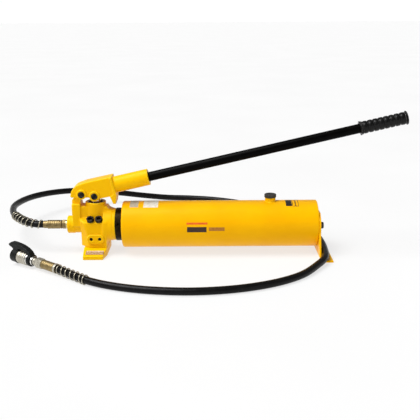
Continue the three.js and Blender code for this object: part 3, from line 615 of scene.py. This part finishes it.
def quads_of(inside, index):
    faces = []
    for k in range(3):
        ahead = np.eye(3, dtype=int)[k]
        b, c = np.eye(3, dtype=int)[(k + 1) % 3], np.eye(3, dtype=int)[(k + 2) % 3]
        near = tuple(slice(0 if i == k else 1, -1) for i in range(3))
        far = tuple(slice(1 if i == k else 1, None if i == k else -1) for i in range(3))
        first, second = inside[near], inside[far]
        edges = np.argwhere(first != second) + (1 - ahead)
        corner = [index[tuple((edges - shift).T)] for shift in (0 * b, b, b + c, c)]
        quads = np.stack(corner, 1)
        leaving = inside[tuple(edges.T)]
        quads[leaving] = quads[leaving][:, ::-1]
        faces.append(quads[:, ::-1])
    return np.concatenate(faces).tolist()


def sculpted(name, field, look, replaces=(), body="root", place=None, sharp=0):
    points, faces = net_of(field)
    return add_piece(name, points, faces, look, replaces, body, place, sharp)


def arc(cx, cy, radius, start, end, steps=12):
    """Points on an arc, angles in degrees."""
    angles = np.radians(np.linspace(start, end, steps))
    return [(cx + radius * cos(a), cy + radius * sin(a)) for a in angles]


def stadium(cx, cy, length, height):
    half = (length - height) / 2
    return (arc(cx + half, cy, height / 2, -90, 90) + arc(cx - half, cy, height / 2, 90, 270))


def hexagon(across):
    return arc(0, 0, across / sqrt(3), 0, 300, 6)


# ---- hose, as the free cord


def smooth_route(points, steps):
    """Centripetal Catmull-Rom through the route's points."""
    p = np.array(points, float)
    p = np.vstack([2 * p[0] - p[1], p, 2 * p[-1] - p[-2]])
    made = []
    for i in range(1, len(p) - 2):
        quad = p[i - 1:i + 3]
        t = np.concatenate([[0], np.cumsum(np.linalg.norm(np.diff(quad, axis=0), axis=1) ** 0.5)])
        for s in np.linspace(t[1], t[2], steps, endpoint=False):
            a = [((t[j + 1] - s) * quad[j] + (s - t[j]) * quad[j + 1]) / (t[j + 1] - t[j])
                 for j in range(3)]
            b = [((t[j + 2] - s) * a[j] + (s - t[j]) * a[j + 1]) / (t[j + 2] - t[j]) for j in range(2)]
            made.append(((t[2] - s) * b[0] + (s - t[1]) * b[1]) / (t[2] - t[1]))
    made.append(p[-2])
    return np.array(made)


def wire_piece(name, points, radius, look, replaces, resolution):
    """A round wire or hose along points in metres."""
    curve = bpy.data.curves.new(name, "CURVE")
    curve.dimensions = "3D"
    curve.bevel_depth = radius
    curve.bevel_resolution = resolution
    curve.use_fill_caps = True
    spline = curve.splines.new("POLY")
    spline.points.add(len(points) - 1)
    spline.points.foreach_set("co", np.column_stack([points, np.ones(len(points))]).ravel())
    spline.use_smooth = True
    curve.materials.append(LOOKS[look])
    return settle(placed(name, curve), replaces)


ROUTE = smooth_route(HOSE_ROUTE, 14)
ROUTE_LENGTHS = np.concatenate([[0], np.cumsum(np.linalg.norm(np.diff(ROUTE, axis=0), axis=1))])


def route_at(distance):
    return np.array([np.interp(distance, ROUTE_LENGTHS, ROUTE[:, k]) for k in range(3)])


def spring_guard(name, node, start, length, turns, closed_end):
    """Round-wire guard wound on the hose, in metres. The turns at one end lie side by side."""
    radius, wire, clearance = 0.0092, 0.00112, 0.0002
    steps = 28
    packed_turns = 1.1
    pitch = 2 * wire * 1.04
    reach = length - packed_turns * pitch
    points = []
    for i in range(int((turns + packed_turns) * steps) + 1):
        turn = i / steps
        open_turns = min(turn, turns)
        along = open_turns / turns * reach + (turn - open_turns) * pitch
        at = start + (along if closed_end > 0 else length - along)
        centre = route_at(at)
        ahead = route_at(at + 0.002) - route_at(at - 0.002)
        ahead /= np.linalg.norm(ahead)
        side = np.cross(ahead, (0, 0, 1))
        side /= np.linalg.norm(side)
        up = np.cross(side, ahead)
        angle = 2 * pi * turn
        points.append(centre + radius * (side * cos(angle) + up * sin(angle)))
        points[-1][2] = max(points[-1][2], wire + clearance)
    return wire_piece(name, np.array(points), wire, "wire", [node], 4)


hose = wire_piece("hose_tube", ROUTE, HOSE_DIAMETER / 2, "hose", ["hose"], 10)
PUMP_GUARD = spring_guard("pump_guard_coil", "pump_spring_guard", 0.0015, 0.100, 7, 1)
COUPLER_GUARD = spring_guard("coupler_guard_coil", "coupler_spring_guard", ROUTE_LENGTHS[-1] - 0.0815,
                             0.080, 6, -1)


# ---- hose fittings

ON_OUTLET = facing("-X", (OUTLET.left, 0, AXIS_Z))


def pump_end():
    """Washer, hexagon nipple and crimped ferrule, turned about Z from the outlet's face."""
    washer = spun("outlet_bonded_washer", [(8.6, 0.3), (9.4, 0.3), (9.4, 4.6), (8.6, 4.6)], "gold",
                  ["outlet_washer"], place=ON_OUTLET, soften=0.35, closed=True)
    nipple = spun("outlet_nipple", [(0, -14), (8.2, -14), (8.2, 4.9), (9.1, 4.9), (10.1, 5.6),
                  (10.1, 12.1), (9.2, 12.8), (5, 12.8), (5, 50), (0, 50)], "olive", ["hose_nipple"],
                  place=ON_OUTLET, soften=0.15, shape=hexagonal(17.5), sides=144)
    profile = [(7, 14), (8.9, 14), (9.5, 14.8), (9.5, 16.4), (8.7, 17), (8.7, 18), (9.5, 18.6)]
    for i in range(5):
        at = 21 + 4.6 * i
        profile += [(9.5, at), (9.3, at + 0.5), (9.3, at + 1.6), (9.5, at + 2.1)]
    profile += [(9.5, 44), (8.2, 45), (8.2, 52.6), (7.6, 53.4), (7, 53.4)]
    ferrule = spun("pump_crimp_ferrule", profile, "olive", ["pump_ferrule"], place=ON_OUTLET, soften=0.3,
                   closed=True)
    return [washer, nipple, ferrule]


def coupler_end():
    """Crimped ferrule, hexagon nipple, body, knurled sleeve and poppet, turned about Z."""
    profile = [(7, 0), (8.4, 0), (8.4, 6.6), (9.5, 7.4)]
    for i in range(6):
        at = 10.5 + 4.4 * i
        profile += [(9.5, at), (9.4, at + 0.5), (9.4, at + 1.5), (9.5, at + 2)]
    profile += [(9.5, 39), (8.5, 40), (7, 40)]
    nipple = [(0, 6), (5, 6), (5, 40.3), (9.8, 40.3), (10.97, 41.3), (10.97, 56), (9.8, 57), (7.6, 57),
              (7.6, 59.5), (7.0, 60), (7.0, 61.5), (7.6, 62), (7.6, 66), (5.6, 66), (5.6, 74), (0, 74)]
    parts = [
        spun("coupler_bead_ring", [(8.6, 0.2), (9.6, 0.2), (10.2, 1), (10.2, 5.2), (9.6, 6), (8.6, 6)],
             "bead", place=ON_COUPLER, soften=0.4, closed=True),
        spun("coupler_crimp_ferrule", profile, "olive", ["coupler_ferrule"], place=ON_COUPLER, soften=0.3,
             closed=True),
        spun("coupler_hex_nipple", nipple, "nickel", ["coupler_nipple"], place=ON_COUPLER, soften=0.15,
             shape=hexagonal(19), sides=144),
        spun("coupler_housing", [(5.9, 66.4), (9.5, 66.4), (9.5, 80), (11.5, 81), (11.5, 118), (7, 118),
             (7, 84), (5.9, 84)], "zinc", ["coupler_body"], place=ON_COUPLER, soften=0.4, closed=True),
        spun("coupler_poppet_valve", [(0, 96), (4, 96), (4, 112), (6.4, 113), (6.4, 115.5), (0, 115.5)],
             "steel", ["coupler_poppet"], place=ON_COUPLER, soften=0.4, sides=64),
    ]
    grooves = [(11.9, 84.3), (13.2, 84.3), (13.6, 84.9), (13.6, 88.6), (12.9, 89.2), (12.9, 90.4),
               (13.5, 91)]
    grooves += [(13.5, 91 + 0.45 * i) for i in range(1, 18)]
    grooves += [(13.5, 99.4), (12.9, 100), (12.9, 101), (13.6, 101.6), (13.6, 107), (13.2, 108),
                (11.9, 108)]
    spun("coupler_knurled_sleeve", grooves, "nickel", ["coupler_sleeve"], "coupler_sleeve", ON_COUPLER,
         soften=0.0, shape=diamond_knurl(44, 0.14, [(91.4, 98.8)], 1.35), closed=True, sides=264,
         sharp=60)
    return parts


def dust_cap():
    """Rubber cup, strap along the top and loop, in one moulding. X is up and Z along the coupler."""
    f = Field((-17, -17, 67), (31, 17, 140), 0.55)
    f.join(f.post(14.2, 108.6, 126.5, 2.2))
    f.join(f.post(14.8, 108.6, 111.2, 1.0), 0.8)
    strap = [(16.2, 84), (18, 96), (17.4, 108), (13.5, 112), (12.5, 122), (17, 127), (18.6, 133),
             (20.2, 136.4), (23.6, 136.4), (28, 130), (28.4, 119), (28, 108), (26.6, 96), (23, 84),
             (18, 75), (12, 70.5), (9.9, 79), (12, 80.5)]
    f.join(f.prism("Y", strap, -6.4, 6.4, 1.6), 1.6)
    f.join(f.post(12.8, 71, 79, 1.2), 1.6)
    f.carve(f.post(12.2, 98, 121))
    f.carve(f.post(9.9, 60, 82))
    f.carve(f.post(14.2, 82, 108.6))
    return sculpted("dust_cap_moulding", f, "cap_rubber", ["dust_cap"], place=ON_COUPLER)


ON_HOSE = [PUMP_GUARD, COUPLER_GUARD, *pump_end(), *coupler_end(), dust_cap(),
           bpy.data.objects["coupler_knurled_sleeve"]]


# ---- pump head


def head_casting():
    """Block, barrel, fulcrum post, outlet boss, side pad, saddle and neck, with cast fillets."""
    f = Field((-66, -40, 14), (78, 40, 147), 0.9)
    half = HEAD.half_width
    f.join(f.box((HEAD.left, -half, HEAD.bottom + GAP), (HEAD.right, half, HEAD.top), 1.2))
    taper = 6.7 * np.clip((f.axes[2] - 42) / 42, 0, 1)
    for side in (-1, 1):
        f.keep(f.plane((-15, side * half, 0), (-14, side * 17, 0)) - taper, 2.4)
    lean = radians(PLUG.tilt)
    for side in (-1, 1):
        f.keep(f.plane((0, side * half, HEAD.shoulder), (0, side * sin(lean), cos(lean))), 2.5)
    f.join(f.rod("X", AXIS, 35.4, 18, 36.2, 1.2), 7)
    f.join(f.rod("X", AXIS, 34.6, 30, 43, 1.0), 0.5)
    f.join(f.post(BARREL.radius, 60, BARREL.top, 1.4), 5)
    f.join(f.box((POST.left, -POST.half_width, AXIS_Z), (POST.right, POST.half_width, POST.ledge), 2.0), 3)
    f.join(f.rod("X", AXIS, 18, -60, -20, 1), 3)
    f.join(f.rod("X", AXIS, OUTLET.radius, OUTLET.left, -46, 1.6), 1)
    f.join(f.box((-34, -16, 61), (-14, 16, 105), 1.5), 3)
    saddle = [(12, 70), (12, 104), (25, 104), (29, 98), (37, 93), (37, 70)]
    f.join(f.prism("Y", saddle, -14, 14, 2.0), 4)
    tongue = [(-30, 100), (POST.right, POST.ledge), (-30, 123), FULCRUM, (-35.5, 136.5), (-40, 130),
              (-45, 123), (POST.left, 118), (POST.left, 100)]
    f.join(f.prism("Y", tongue, -TONGUE.half_width, TONGUE.half_width, 1.2), 2)
    f.join(f.rod("Y", FULCRUM, TONGUE.eye, -TONGUE.half_width, TONGUE.half_width, 1.0), 2)
    f.join(f.prism("Y", stadium(PAD.x, PAD.z, PAD.length, PAD.height), -35, -30, 1.0), 1.2)
    f.join(f.rod("X", AXIS, STUB.radius, 42, STUB.rear, 0.8), 0.3)
    return drilled(f)


def drilled(f):
    """Bores for the plunger, outlet, fulcrum pin, release valve, plugs, pad and foot screws."""
    f.carve(f.post(17.3, 90.4, 116), 0.8)
    f.carve(f.post(12.2, 70, 92))
    f.carve(f.rod("X", AXIS, 8.6, -70, -44), 1)
    f.carve(f.rod("Y", FULCRUM, PIN_BORE, -16, 16), 0.6)
    f.carve(f.rod("Y", (0, RELEASE_Z), 6.4, 10, 40), 0.6)
    lean = radians(PLUG.tilt)
    into = np.array((0, sin(lean), -cos(lean)))
    for side in (-1, 1):
        seat = np.array((side * PLUG.x, PLUG.y, PLUG.z))
        f.carve(f.bar(seat - 14 * into, seat + 24 * into, SCREW_BORE))
        f.carve(f.bar(seat - 14 * into, seat, PLUG.radius + 0.6), 0.5)
        f.carve(f.rod("Y", (PAD.x + side * PAD.pitch / 2, PAD.z), PAD.hole, -40, -27), 0.7)
        f.carve(f.rod("Z", (0, side * FOOT.screw_y), SCREW_BORE, 10, 29), 0.5)
    return sculpted("pump_head_casting", f, "cast", ["pump_body"])


def front_foot():
    f = Field((-28, -65, -3), (29, 65, 21), 0.8)
    end, half = FOOT.front, HEAD.half_width
    side = [(-end, 0), (end, 0), (end, FOOT.toe), (half, HEAD.bottom), (-half, HEAD.bottom),
            (-end, FOOT.toe)]
    plan = [(-23.4, -end), (19, -end), (24.5, -half), (24.5, half), (19, end), (-23.4, end), (-25, half),
            (-25, -half)]
    f.join(f.prism("X", side, -28, 28, 1.2))
    f.keep(f.prism("Z", plan, -4, 30, 1.5), 1.6)
    for y in (-FOOT.screw_y, FOOT.screw_y):
        f.carve(f.rod("Z", (0, y), FOOT.well, -5, 10))
        f.carve(f.rod("Z", (0, y), SCREW_BORE, 5, 25))
    sculpted("front_foot_casting", f, "cast", ["front_foot"])


def badge():
    """Blank plate with a raised rim on the toe of the front foot."""
    f = Field((-20, -7.2, -0.6), (20, 7.2, 2.2), 0.3)
    f.join(f.box((-19, -6.1, 0.3), (19, 6.1, 1.0), 0.3))
    f.join(f.box((-19, -6.1, 0.3), (19, 6.1, 1.45), 0.3))
    f.carve(f.box((-17.9, -5.0, 1.05), (17.9, 5.0, 4), 0.5), 0.2)
    slope = atan2(HEAD.bottom - FOOT.toe, FOOT.front - HEAD.half_width)
    y = -50.5
    height = HEAD.bottom + (y + HEAD.half_width) * tan(slope)
    place = (Matrix.Translation(Vector((0.9, y, height)) * MM)
             @ Matrix.Rotation(slope, 4, "X"))
    sculpted("blank_badge", f, "badge", ["badge_plate"], place=place)


def socket_plug(name, x, replaces):
    """Socket-head plug with a chamfered rim, on the head's slanted shoulder."""
    r, h = PLUG.radius, PLUG.height
    f = Field((-9, -9, -9), (9, 9, 10), 0.4)
    f.join(f.post(r, 0.3, h, 0.9))
    f.join(f.post(4.8, -7, 1))
    f.carve(f.prism("Z", hexagon(PLUG.across), h - 5, h + 4), 0.3)
    f.carve(f.plane((0, 0, h), (0, 0, -1)) - 0.35, 0.2)
    place = (Matrix.Translation(Vector((x, PLUG.y, PLUG.z)) * MM)
             @ Matrix.Rotation(radians(PLUG.tilt), 4, "X"))
    sculpted(name, f, "black", replaces, place=place)


def pad_hole_shade_screws():
    """Black socket set screws sunk deep in the side pad's two holes: a dark fill that paints the shade
    inside the holes.
    """
    for side in (-1, 1):
        f = Field((-4.5, -4.5, -1), (4.5, 4.5, 5), 0.3)
        f.join(f.post(PAD.hole - 0.05, 0, 3.4, 0.5))
        f.carve(f.prism("Z", hexagon(4.2), 0.8, 6), 0.15)
        # painted shade: black screws set deep so that the holes read dark
        place = facing("-Y", (PAD.x + side * PAD.pitch / 2, -28.4, PAD.z))
        sculpted("pad_hole_shade_screw_a" if side < 0 else "pad_hole_shade_screw_b", f, "black", place=place)


def gland():
    """Slotted nut round the plunger, and the wiper in it."""
    f = Field((-19, -19, 95), (19, 19, 115), 0.6)
    f.join(f.post(17, 97, 112.4, 0.6))
    f.carve(f.post(15.4, 107.2, 116), 0.4)
    f.carve(f.post(11.9, 90, 116))
    f.carve(f.box((-2, -20, 109.5), (2, 20, 116), 0.3))
    sculpted("gland_ring", f, "steel", ["gland_nut"])
    spun("plunger_wiper", [(12.0, 107.5), (15, 107.5), (15, 112), (13.6, 112.8), (12.0, 111.6)], "seal",
         ["wiper_seal"], closed=True, soften=0.4)


def release_valve():
    """Packing nut, spindle and fluted knob on the far side of the head."""
    on_valve = facing("+Y", (0, 0, RELEASE_Z))
    spun("release_gland_nut", [(4.4, 22), (6, 22), (6, 32.3), (11.5, 32.3), (12.7, 33.2), (12.7, 39.2),
         (11.4, 40), (7, 40), (4.4, 40)], "steel", ["release_packing_nut"], place=on_valve, soften=0.2,
         shape=hexagonal(22), sides=144, closed=True)
    spun("release_stem", [(0, 16.8), (4, 20), (4, 63), (0, 63)], "steel", ["release_spindle"],
         "release_valve", on_valve, sides=48)
    spun("release_hand_knob", [(4.4, 48), (8, 48), (8, 52), (13, 52), (14, 53.5), (14, 64.5), (13, 66),
         (0, 66), (0, 63.4), (4.4, 63.4)], "black", ["release_knob"], "release_valve", on_valve,
         soften=0.8, shape=fluted(12, 1.2, 52.2, 65.5, 12), sides=192)


head_casting()
front_foot()
badge()
socket_plug("valve_plug_a", -PLUG.x, ["valve_plug_low"])
socket_plug("valve_plug_b", PLUG.x, ["valve_plug_high"])
pad_hole_shade_screws()
gland()
release_valve()


# ---- lever, pins and plunger


def yoke():
    """Both cheeks, their bridge and the handle socket, as one casting."""
    f = Field((-56, -24, 106), (122, 24, 187), 0.8)
    cheek = [(-48, 124.5), (-11, 124.5), (11, 122), (33, 126.5), (40, 111), (45.5, 111), (48, 130),
             (37.5, 169.3), (-18, 157.3), (-29, 153.3), (-37.5, 150.2), (-44.2, 144.5), (-48.7, 136.8),
             (-51, 127.5)]
    cavity = [(-80, 60), (33, 60), (33, 124), (38, 127), (31.5, 161.6), (-22, 150.2), (-31, 146),
              (-39, 140.5), (-44, 144.5), (-80, 144.5)]
    f.join(f.prism("Y", cheek, -YOKE.half_width, YOKE.half_width, 1.6))
    f.carve(f.prism("Y", cavity, -YOKE.inner, YOKE.inner), 1.5)
    lug = [(34, 127), (40, 111), (45.5, 111), (48, 130), (37.8, 168.6), (33.2, 167.6), (41, 132)]
    f.join(f.prism("Y", lug, -YOKE.lug_half, YOKE.lug_half, 1.4), 0.6)
    for at, radius in ((FULCRUM, 10.5), (PLUNGER_PIN, 11)):
        for low, high in ((-YOKE.boss_half, -YOKE.inner), (YOKE.inner, YOKE.boss_half)):
            f.join(f.rod("Y", at, radius, low, high, 1.0), 1.6)
    lean = radians(HANDLE_TILT)
    along = np.array((cos(lean), 0, sin(lean)))
    foot = np.array(HANDLE_FOOT)
    f.join(f.bar(foot - 3 * along, foot + SOCKET.end * along, SOCKET.radius, 1.2), 3)
    f.carve(f.bar(foot + 4 * along, foot + 90 * along, SOCKET.bore), 0.8)
    for at in (FULCRUM, PLUNGER_PIN):
        f.carve(f.rod("Y", at, PIN_BORE, -40, 40), 0.4)
    sculpted("yoke_casting", f, "cast", ["yoke"], "lever")


def handle():
    """Steel tube, and a rubber grip with a double collar, ribs and a closed end."""
    tube = [(TUBE.inner, TUBE.start), (TUBE.outer, TUBE.start), (TUBE.outer, TUBE.end),
            (TUBE.inner, TUBE.end)]
    spun("handle_bar", tube, "handle", ["handle_tube"], "lever", ON_HANDLE, soften=0.4, closed=True)
    floor = GRIP.end - 5
    profile = [(0, floor), (GRIP.bore, floor), (GRIP.bore, GRIP.start), (14.4, GRIP.start), (15.2, 528),
               (15.2, 529.2), (14.4, 530), (12.8, 530.5), (12.8, 531.2), (14.1, 531.8), (14.1, 532.8),
               (12.4, 533.4)]
    for i in range(GRIP.ribs):
        base = GRIP.first_rib + i * GRIP.pitch
        profile += [(11.7, base), (13.0, base + 1.5), (13.3, base + 3.4), (13.3, base + 6.6),
                    (13.0, base + 8.8), (11.7, base + 10.4)]
    profile += [(12.6, 623.6), (14.7, 624.4), (14.7, 626.4), (13.3, 627.7), (9, GRIP.end),
                (0, GRIP.end)]
    spun("handle_grip_sleeve", profile, "grip", ["handle_grip"], "lever", ON_HANDLE, soften=0.7)


def pins():
    """Headed pins with a turned dimple, and a split ring on the far end of each."""
    for label, at, body in (("fulcrum", FULCRUM, "root"), ("plunger", PLUNGER_PIN, "lever")):
        place = facing("+Y", (at[0], 0, at[1]))
        spun(f"{label}_pin_headed", [(0, -22.9), (1.6, -22.9), (2.4, -23.7), (5.4, -23.7), (6.8, -22.8),
             (6.8, -21.3), (5, -21.3), (5, 20.9), (4.5, 21.3), (4.5, 22.7), (5, 23), (4.4, 23.4),
             (0, 23.4)], "black", [f"{label}_pin"], body, place, soften=0.3)
        f = Field((-9, -9, 20.7), (9, 9, 23.4), 0.35)
        f.join(f.post(8, 21.3, 22.7, 0.3))
        f.carve(f.post(5.3, 20, 24))
        f.carve(f.box((-2, 0, 20), (2, 12, 24)))
        sculpted(f"{label}_clip", f, "steel", [f"{label}_retaining_ring"], body, place)


def plunger():
    """Chromed rod with a thinner stem, and a slot across its head for the pin."""
    f = Field((-13, -13, 52), (13, 13, 139), 0.55)
    f.join(f.post(PLUNGER.stem, PLUNGER.bottom, 80, 0.8))
    f.join(f.post(PLUNGER.radius, PLUNGER.step, PLUNGER.top, 1.6))
    f.carve(f.prism("Y", stadium(SLOT.x, PLUNGER_PIN[1], SLOT.length, SLOT.height), -20, 20), 0.5)
    sculpted("plunger_rod", f, "chrome", ["plunger"], "plunger")


yoke()
handle()
pins()
plunger()


# ---- tank

ALONG_TANK = facing("+X", (0, 0, AXIS_Z))


def tank():
    """Rolled tube with pressed ends, welded round both rims."""
    radius, front, rear = TANK.radius, TANK.front, TANK.rear
    inner = radius - TANK.wall
    plate = inner - GAP
    spun("tank_tube", [(inner, front), (radius - 1.6, front), (radius, front + 2.6), (radius, rear - 1.2),
         (radius - 1, rear), (inner, rear)], "paint", ["tank_shell"], place=ALONG_TANK, soften=1.6,
         sides=256, closed=True)
    bore = STUB.radius + 0.5
    face = front + GAP
    spun("tank_front_disc", [(bore, face), (31, face), (44, face), (plate, front + 1.2),
         (plate, front + 8), (31, front + 8), (31, STUB.rear), (bore, STUB.rear)], "paint",
         ["tank_front_plate"], place=ALONG_TANK, soften=0.8, sides=128, closed=True)
    spun("tank_rear_disc", [(0, rear - 8), (plate, rear - 8), (plate, rear - 1), (44, rear), (0, rear)],
         "paint", ["tank_rear_plate"], place=ALONG_TANK, soften=0.8, sides=128)


def lock_ring():
    """Ring on the head's neck with four holes for a hook spanner."""
    f = Field((41, -37.5, 23), (60, 37.5, 99), 0.6)
    f.join(f.rod("X", AXIS, RING.radius, RING.front, RING.rear, 0.9))
    f.carve(f.rod("X", AXIS, STUB.radius + 0.5, 40, 62), 0.4)
    middle = (RING.front + RING.rear) / 2
    for quarter in range(4):
        angle = radians(180 - RING.clock + 90 * quarter)
        out = np.array((0, cos(angle), sin(angle)))
        centre = np.array((middle, 0, AXIS_Z))
        f.carve(f.bar(centre + 28.8 * out, centre + 40 * out, RING.hole), 0.5)
    sculpted("tank_lock_ring", f, "ring", ["lock_ring"])


def filler():
    """Welded neck, and a screw cap with a fluted rim and a dished top."""
    place = facing("+Z", (FILLER.x, 0, 0))
    f = Field((-16, -16, 104), (16, 16, 121), 0.5)
    f.join(f.post(FILLER.neck, 100, FILLER.top, 0.7))
    f.join(f.rod("X", AXIS, TANK.radius + 0.05, -30, 30), 2.2)
    f.keep(f.post(13.2, 100, 130), 0.3)
    f.keep(-f.rod("X", AXIS, TANK.radius - 0.1, -40, 40))
    f.carve(f.post(FILLER.bore, 90, 130), 0.5)
    sculpted("filler_neck_weld", f, "cast", ["filler_neck"], place=place)
    spun("filler_screw_cap", [(0, 118.9), (11.8, 118.9), (12.75, 119.6), (12.75, 125.2), (12, 126),
         (10.4, 126), (9.8, 124.6), (0, 124.4)], "plastic", ["filler_cap"], "filler_cap", place,
         soften=0.45, shape=fluted(30, 0.5, 119.3, 125.4, 12.2), sides=240)


def rear_foot():
    """Bent plate: an upright held to the tank and a flange on the floor."""
    x = TANK.rear + GAP
    plate, span, waist = REAR_FOOT.plate, REAR_FOOT.half_span, REAR_FOOT.waist
    reach, lift = x + REAR_FOOT.reach, REAR_FOOT.lift
    top, top_half = REAR_FOOT.top, REAR_FOOT.top_half
    f = Field((x - 2, -89, -2), (x + 29, 89, 113), 0.75)
    bend = ([(x, plate), (x + 1.2, 1.2), (x + plate, 0), (reach, 0), (reach, plate)]
            + arc(x + 7, 7, 3, -90, -180, 5) + [(x + plate, 120), (x, 120)])
    face = ([(-span, -3), (span, -3), (span, plate), (waist, plate)] + arc(0, AXIS_Z, lift, -9, 20, 10)
            + [(top_half, top), (-top_half, top)] + arc(0, AXIS_Z, lift, 160, 189, 10)
            + [(-waist, plate), (-span, plate)])
    f.join(f.prism("Y", bend, -88, 88))
    f.keep(f.prism("X", face, x - 8, x + 40), 0.8)
    f.carve(f.rod("X", (0, TIE.z), TIE.hole, x - 5, x + 10))
    sculpted("rear_foot_plate", f, "paint", ["rear_foot"], sharp=50)


def tie_bolt():
    """Dished washer and hexagon bolt that hold the tank and the rear plate."""
    face = TANK.rear + GAP + REAR_FOOT.plate
    front = face + GAP
    place = facing("+X", (0, 0, TIE.z))
    spun("tie_dished_washer", [(TIE.hole, front), (TIE.washer, front), (TIE.washer, face + 2.5),
         (11.5, face + 6), (TIE.hole, face + 6)], "dark_steel", ["tie_washer"], place=place, soften=0.7,
         closed=True)
    seat = face + 6 + GAP
    spun("tie_hex_bolt", [(0, 454), (4, 454), (4, seat), (6.6, seat), (7.5, seat + 0.5),
         (7.5, seat + 5.3), (6.3, seat + 6), (0, seat + 6)], "dark_steel", ["tie_bolt"], place=place,
         soften=0.2, shape=hexagonal(13), sides=144)


def tank_film(name, x_from, x_to, low, high, look, thick=0.12):
    """A thin printed patch on the tank. Angles in degrees, 0 facing the front side, 90 the top."""
    steps = max(6, int((high - low) / 3))
    points, faces = [], []
    for r in (TANK.radius + 0.02, TANK.radius + thick):
        for i in range(steps + 1):
            angle = radians(low + (high - low) * i / steps)
            for x in (x_from, x_to):
                points.append((x, -r * cos(angle), AXIS_Z + r * sin(angle)))
    layer = 2 * (steps + 1)
    for i in range(steps):
        a, b = 2 * i, layer + 2 * i
        faces += [(b, b + 1, b + 3, b + 2), (a, a + 2, a + 3, a + 1), (a, b, b + 2, a + 2),
                  (a + 1, a + 3, b + 3, b + 1)]
    a, b = 2 * steps, layer + 2 * steps
    faces += [(0, 1, layer + 1, layer), (a, b, b + 1, a + 1)]
    made = add_piece(name, points, faces, look)
    face_out(made.data)


def films():
    """Blank patches and plain bars where the tank carries labels and a print."""
    rows = [("film_front_a", 75, 93, 61, 122, "film_grey"),
            ("film_front_b", 104, 135, 60, 122, "film_white"),
            ("film_rear_square", 407, 419.5, 62, 96, "ink_black")]
    for label, left in (("a", 420.5), ("b", 427.5)):
        right = left + 6.4
        edges = (("top", left, right, 94.6, 96), ("foot", left, right, 61, 62.4),
                 ("left", left, left + 1, 62.4, 94.6), ("right", right - 1, right, 62.4, 94.6))
        rows += [(f"film_rear_{label}_{side}", *extent, "ink_black") for side, *extent in edges]
    rows += [("print_stripe", 196, 240, 14, 19, "ink_orange"),
             ("print_bar", 197, 238, -5, 8, "ink_dark"),
             ("print_bar_small", 243, 276, -2, 7, "ink_brown")]
    for row in rows:
        tank_film(*row)


tank()
lock_ring()
filler()
rear_foot()
tie_bolt()
films()


# ---- carried-over CAD nodes

CAD_LOOKS = {
    "black": ["foot_screw_near", "foot_screw_far"],
    "seal": ["plunger_seal", "neck_oring", "filler_cap_oring"],
    "steel": ["relief_spring_low", "relief_spring_high", "outlet_spring", "suction_tube"],
    "chrome": ["relief_ball_low", "relief_ball_high", "suction_ball", "outlet_ball", "release_ball"],
    "zinc": ["suction_strainer", "dipstick"],
}
for label, names in CAD_LOOKS.items():
    for node in names:
        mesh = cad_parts[node].data
        mesh.materials.clear()
        mesh.materials.append(LOOKS[label])


# ---- floor and light


def make_floor():
    mesh = bpy.data.meshes.new("floor")
    half = 40
    mesh.from_pydata([(-half, -half, 0), (half, -half, 0), (half, half, 0), (-half, half, 0)], [],
                     [(0, 1, 2, 3)])
    look = Look("floor_white", Roughness=0.7, Specular_IOR_Level=0.1, Emission_Strength=0.7,
                Emission_Color=(1, 1, 1, 1))
    mesh.materials.append(look.done(look.ramp(look.noise(2, 2), (0.3, (0.21, 0.21, 0.21)),
                                              (0.7, (0.23, 0.23, 0.23)))))
    floor = placed("floor", mesh)


def softbox(name, place, target, size, power):
    data = bpy.data.lights.new(name, "AREA")
    data.shape = "RECTANGLE"
    data.size, data.size_y = size
    data.energy = power
    lamp = placed(name, data)
    lamp.location = place
    lamp.rotation_euler = (Vector(target) - Vector(place)).to_track_quat("-Z", "Y").to_euler()


def make_light():
    world = bpy.data.worlds.new("studio")
    bpy.context.scene.world = world
    world.use_nodes = True
    nodes, links = world.node_tree.nodes, world.node_tree.links
    sky = nodes["Background"]
    sky.inputs["Color"].default_value = (1, 1, 1, 1)
    up = nodes.new("ShaderNodeSeparateXYZ")
    fade = nodes.new("ShaderNodeMapRange")
    links.new(nodes.new("ShaderNodeTexCoord").outputs["Generated"], up.inputs[0])
    links.new(up.outputs["Z"], fade.inputs["Value"])
    set_range(fade, 0.03, 0.12, 1.02, 0.28)
    links.new(fade.outputs["Result"], sky.inputs["Strength"])
    softbox("key", (-0.9, -1.6, 1.6), (0.15, 0, 0.1), (2.0, 1.4), 11)
    softbox("fill", (1.9, -1.8, 0.8), (0.3, 0, 0.1), (0.8, 0.8), 3)
    overhead = bpy.data.lights.new("overhead", "SUN")
    overhead.energy = 3.2
    overhead.angle = radians(40)
    lamp = placed("overhead", overhead)
    lamp.rotation_euler = Vector((0.45, 0.14, -0.88)).to_track_quat("-Z", "Y").to_euler()


make_floor()
make_light()
view = bpy.context.scene.view_settings
view.view_transform = "Standard"
view.look = "None"
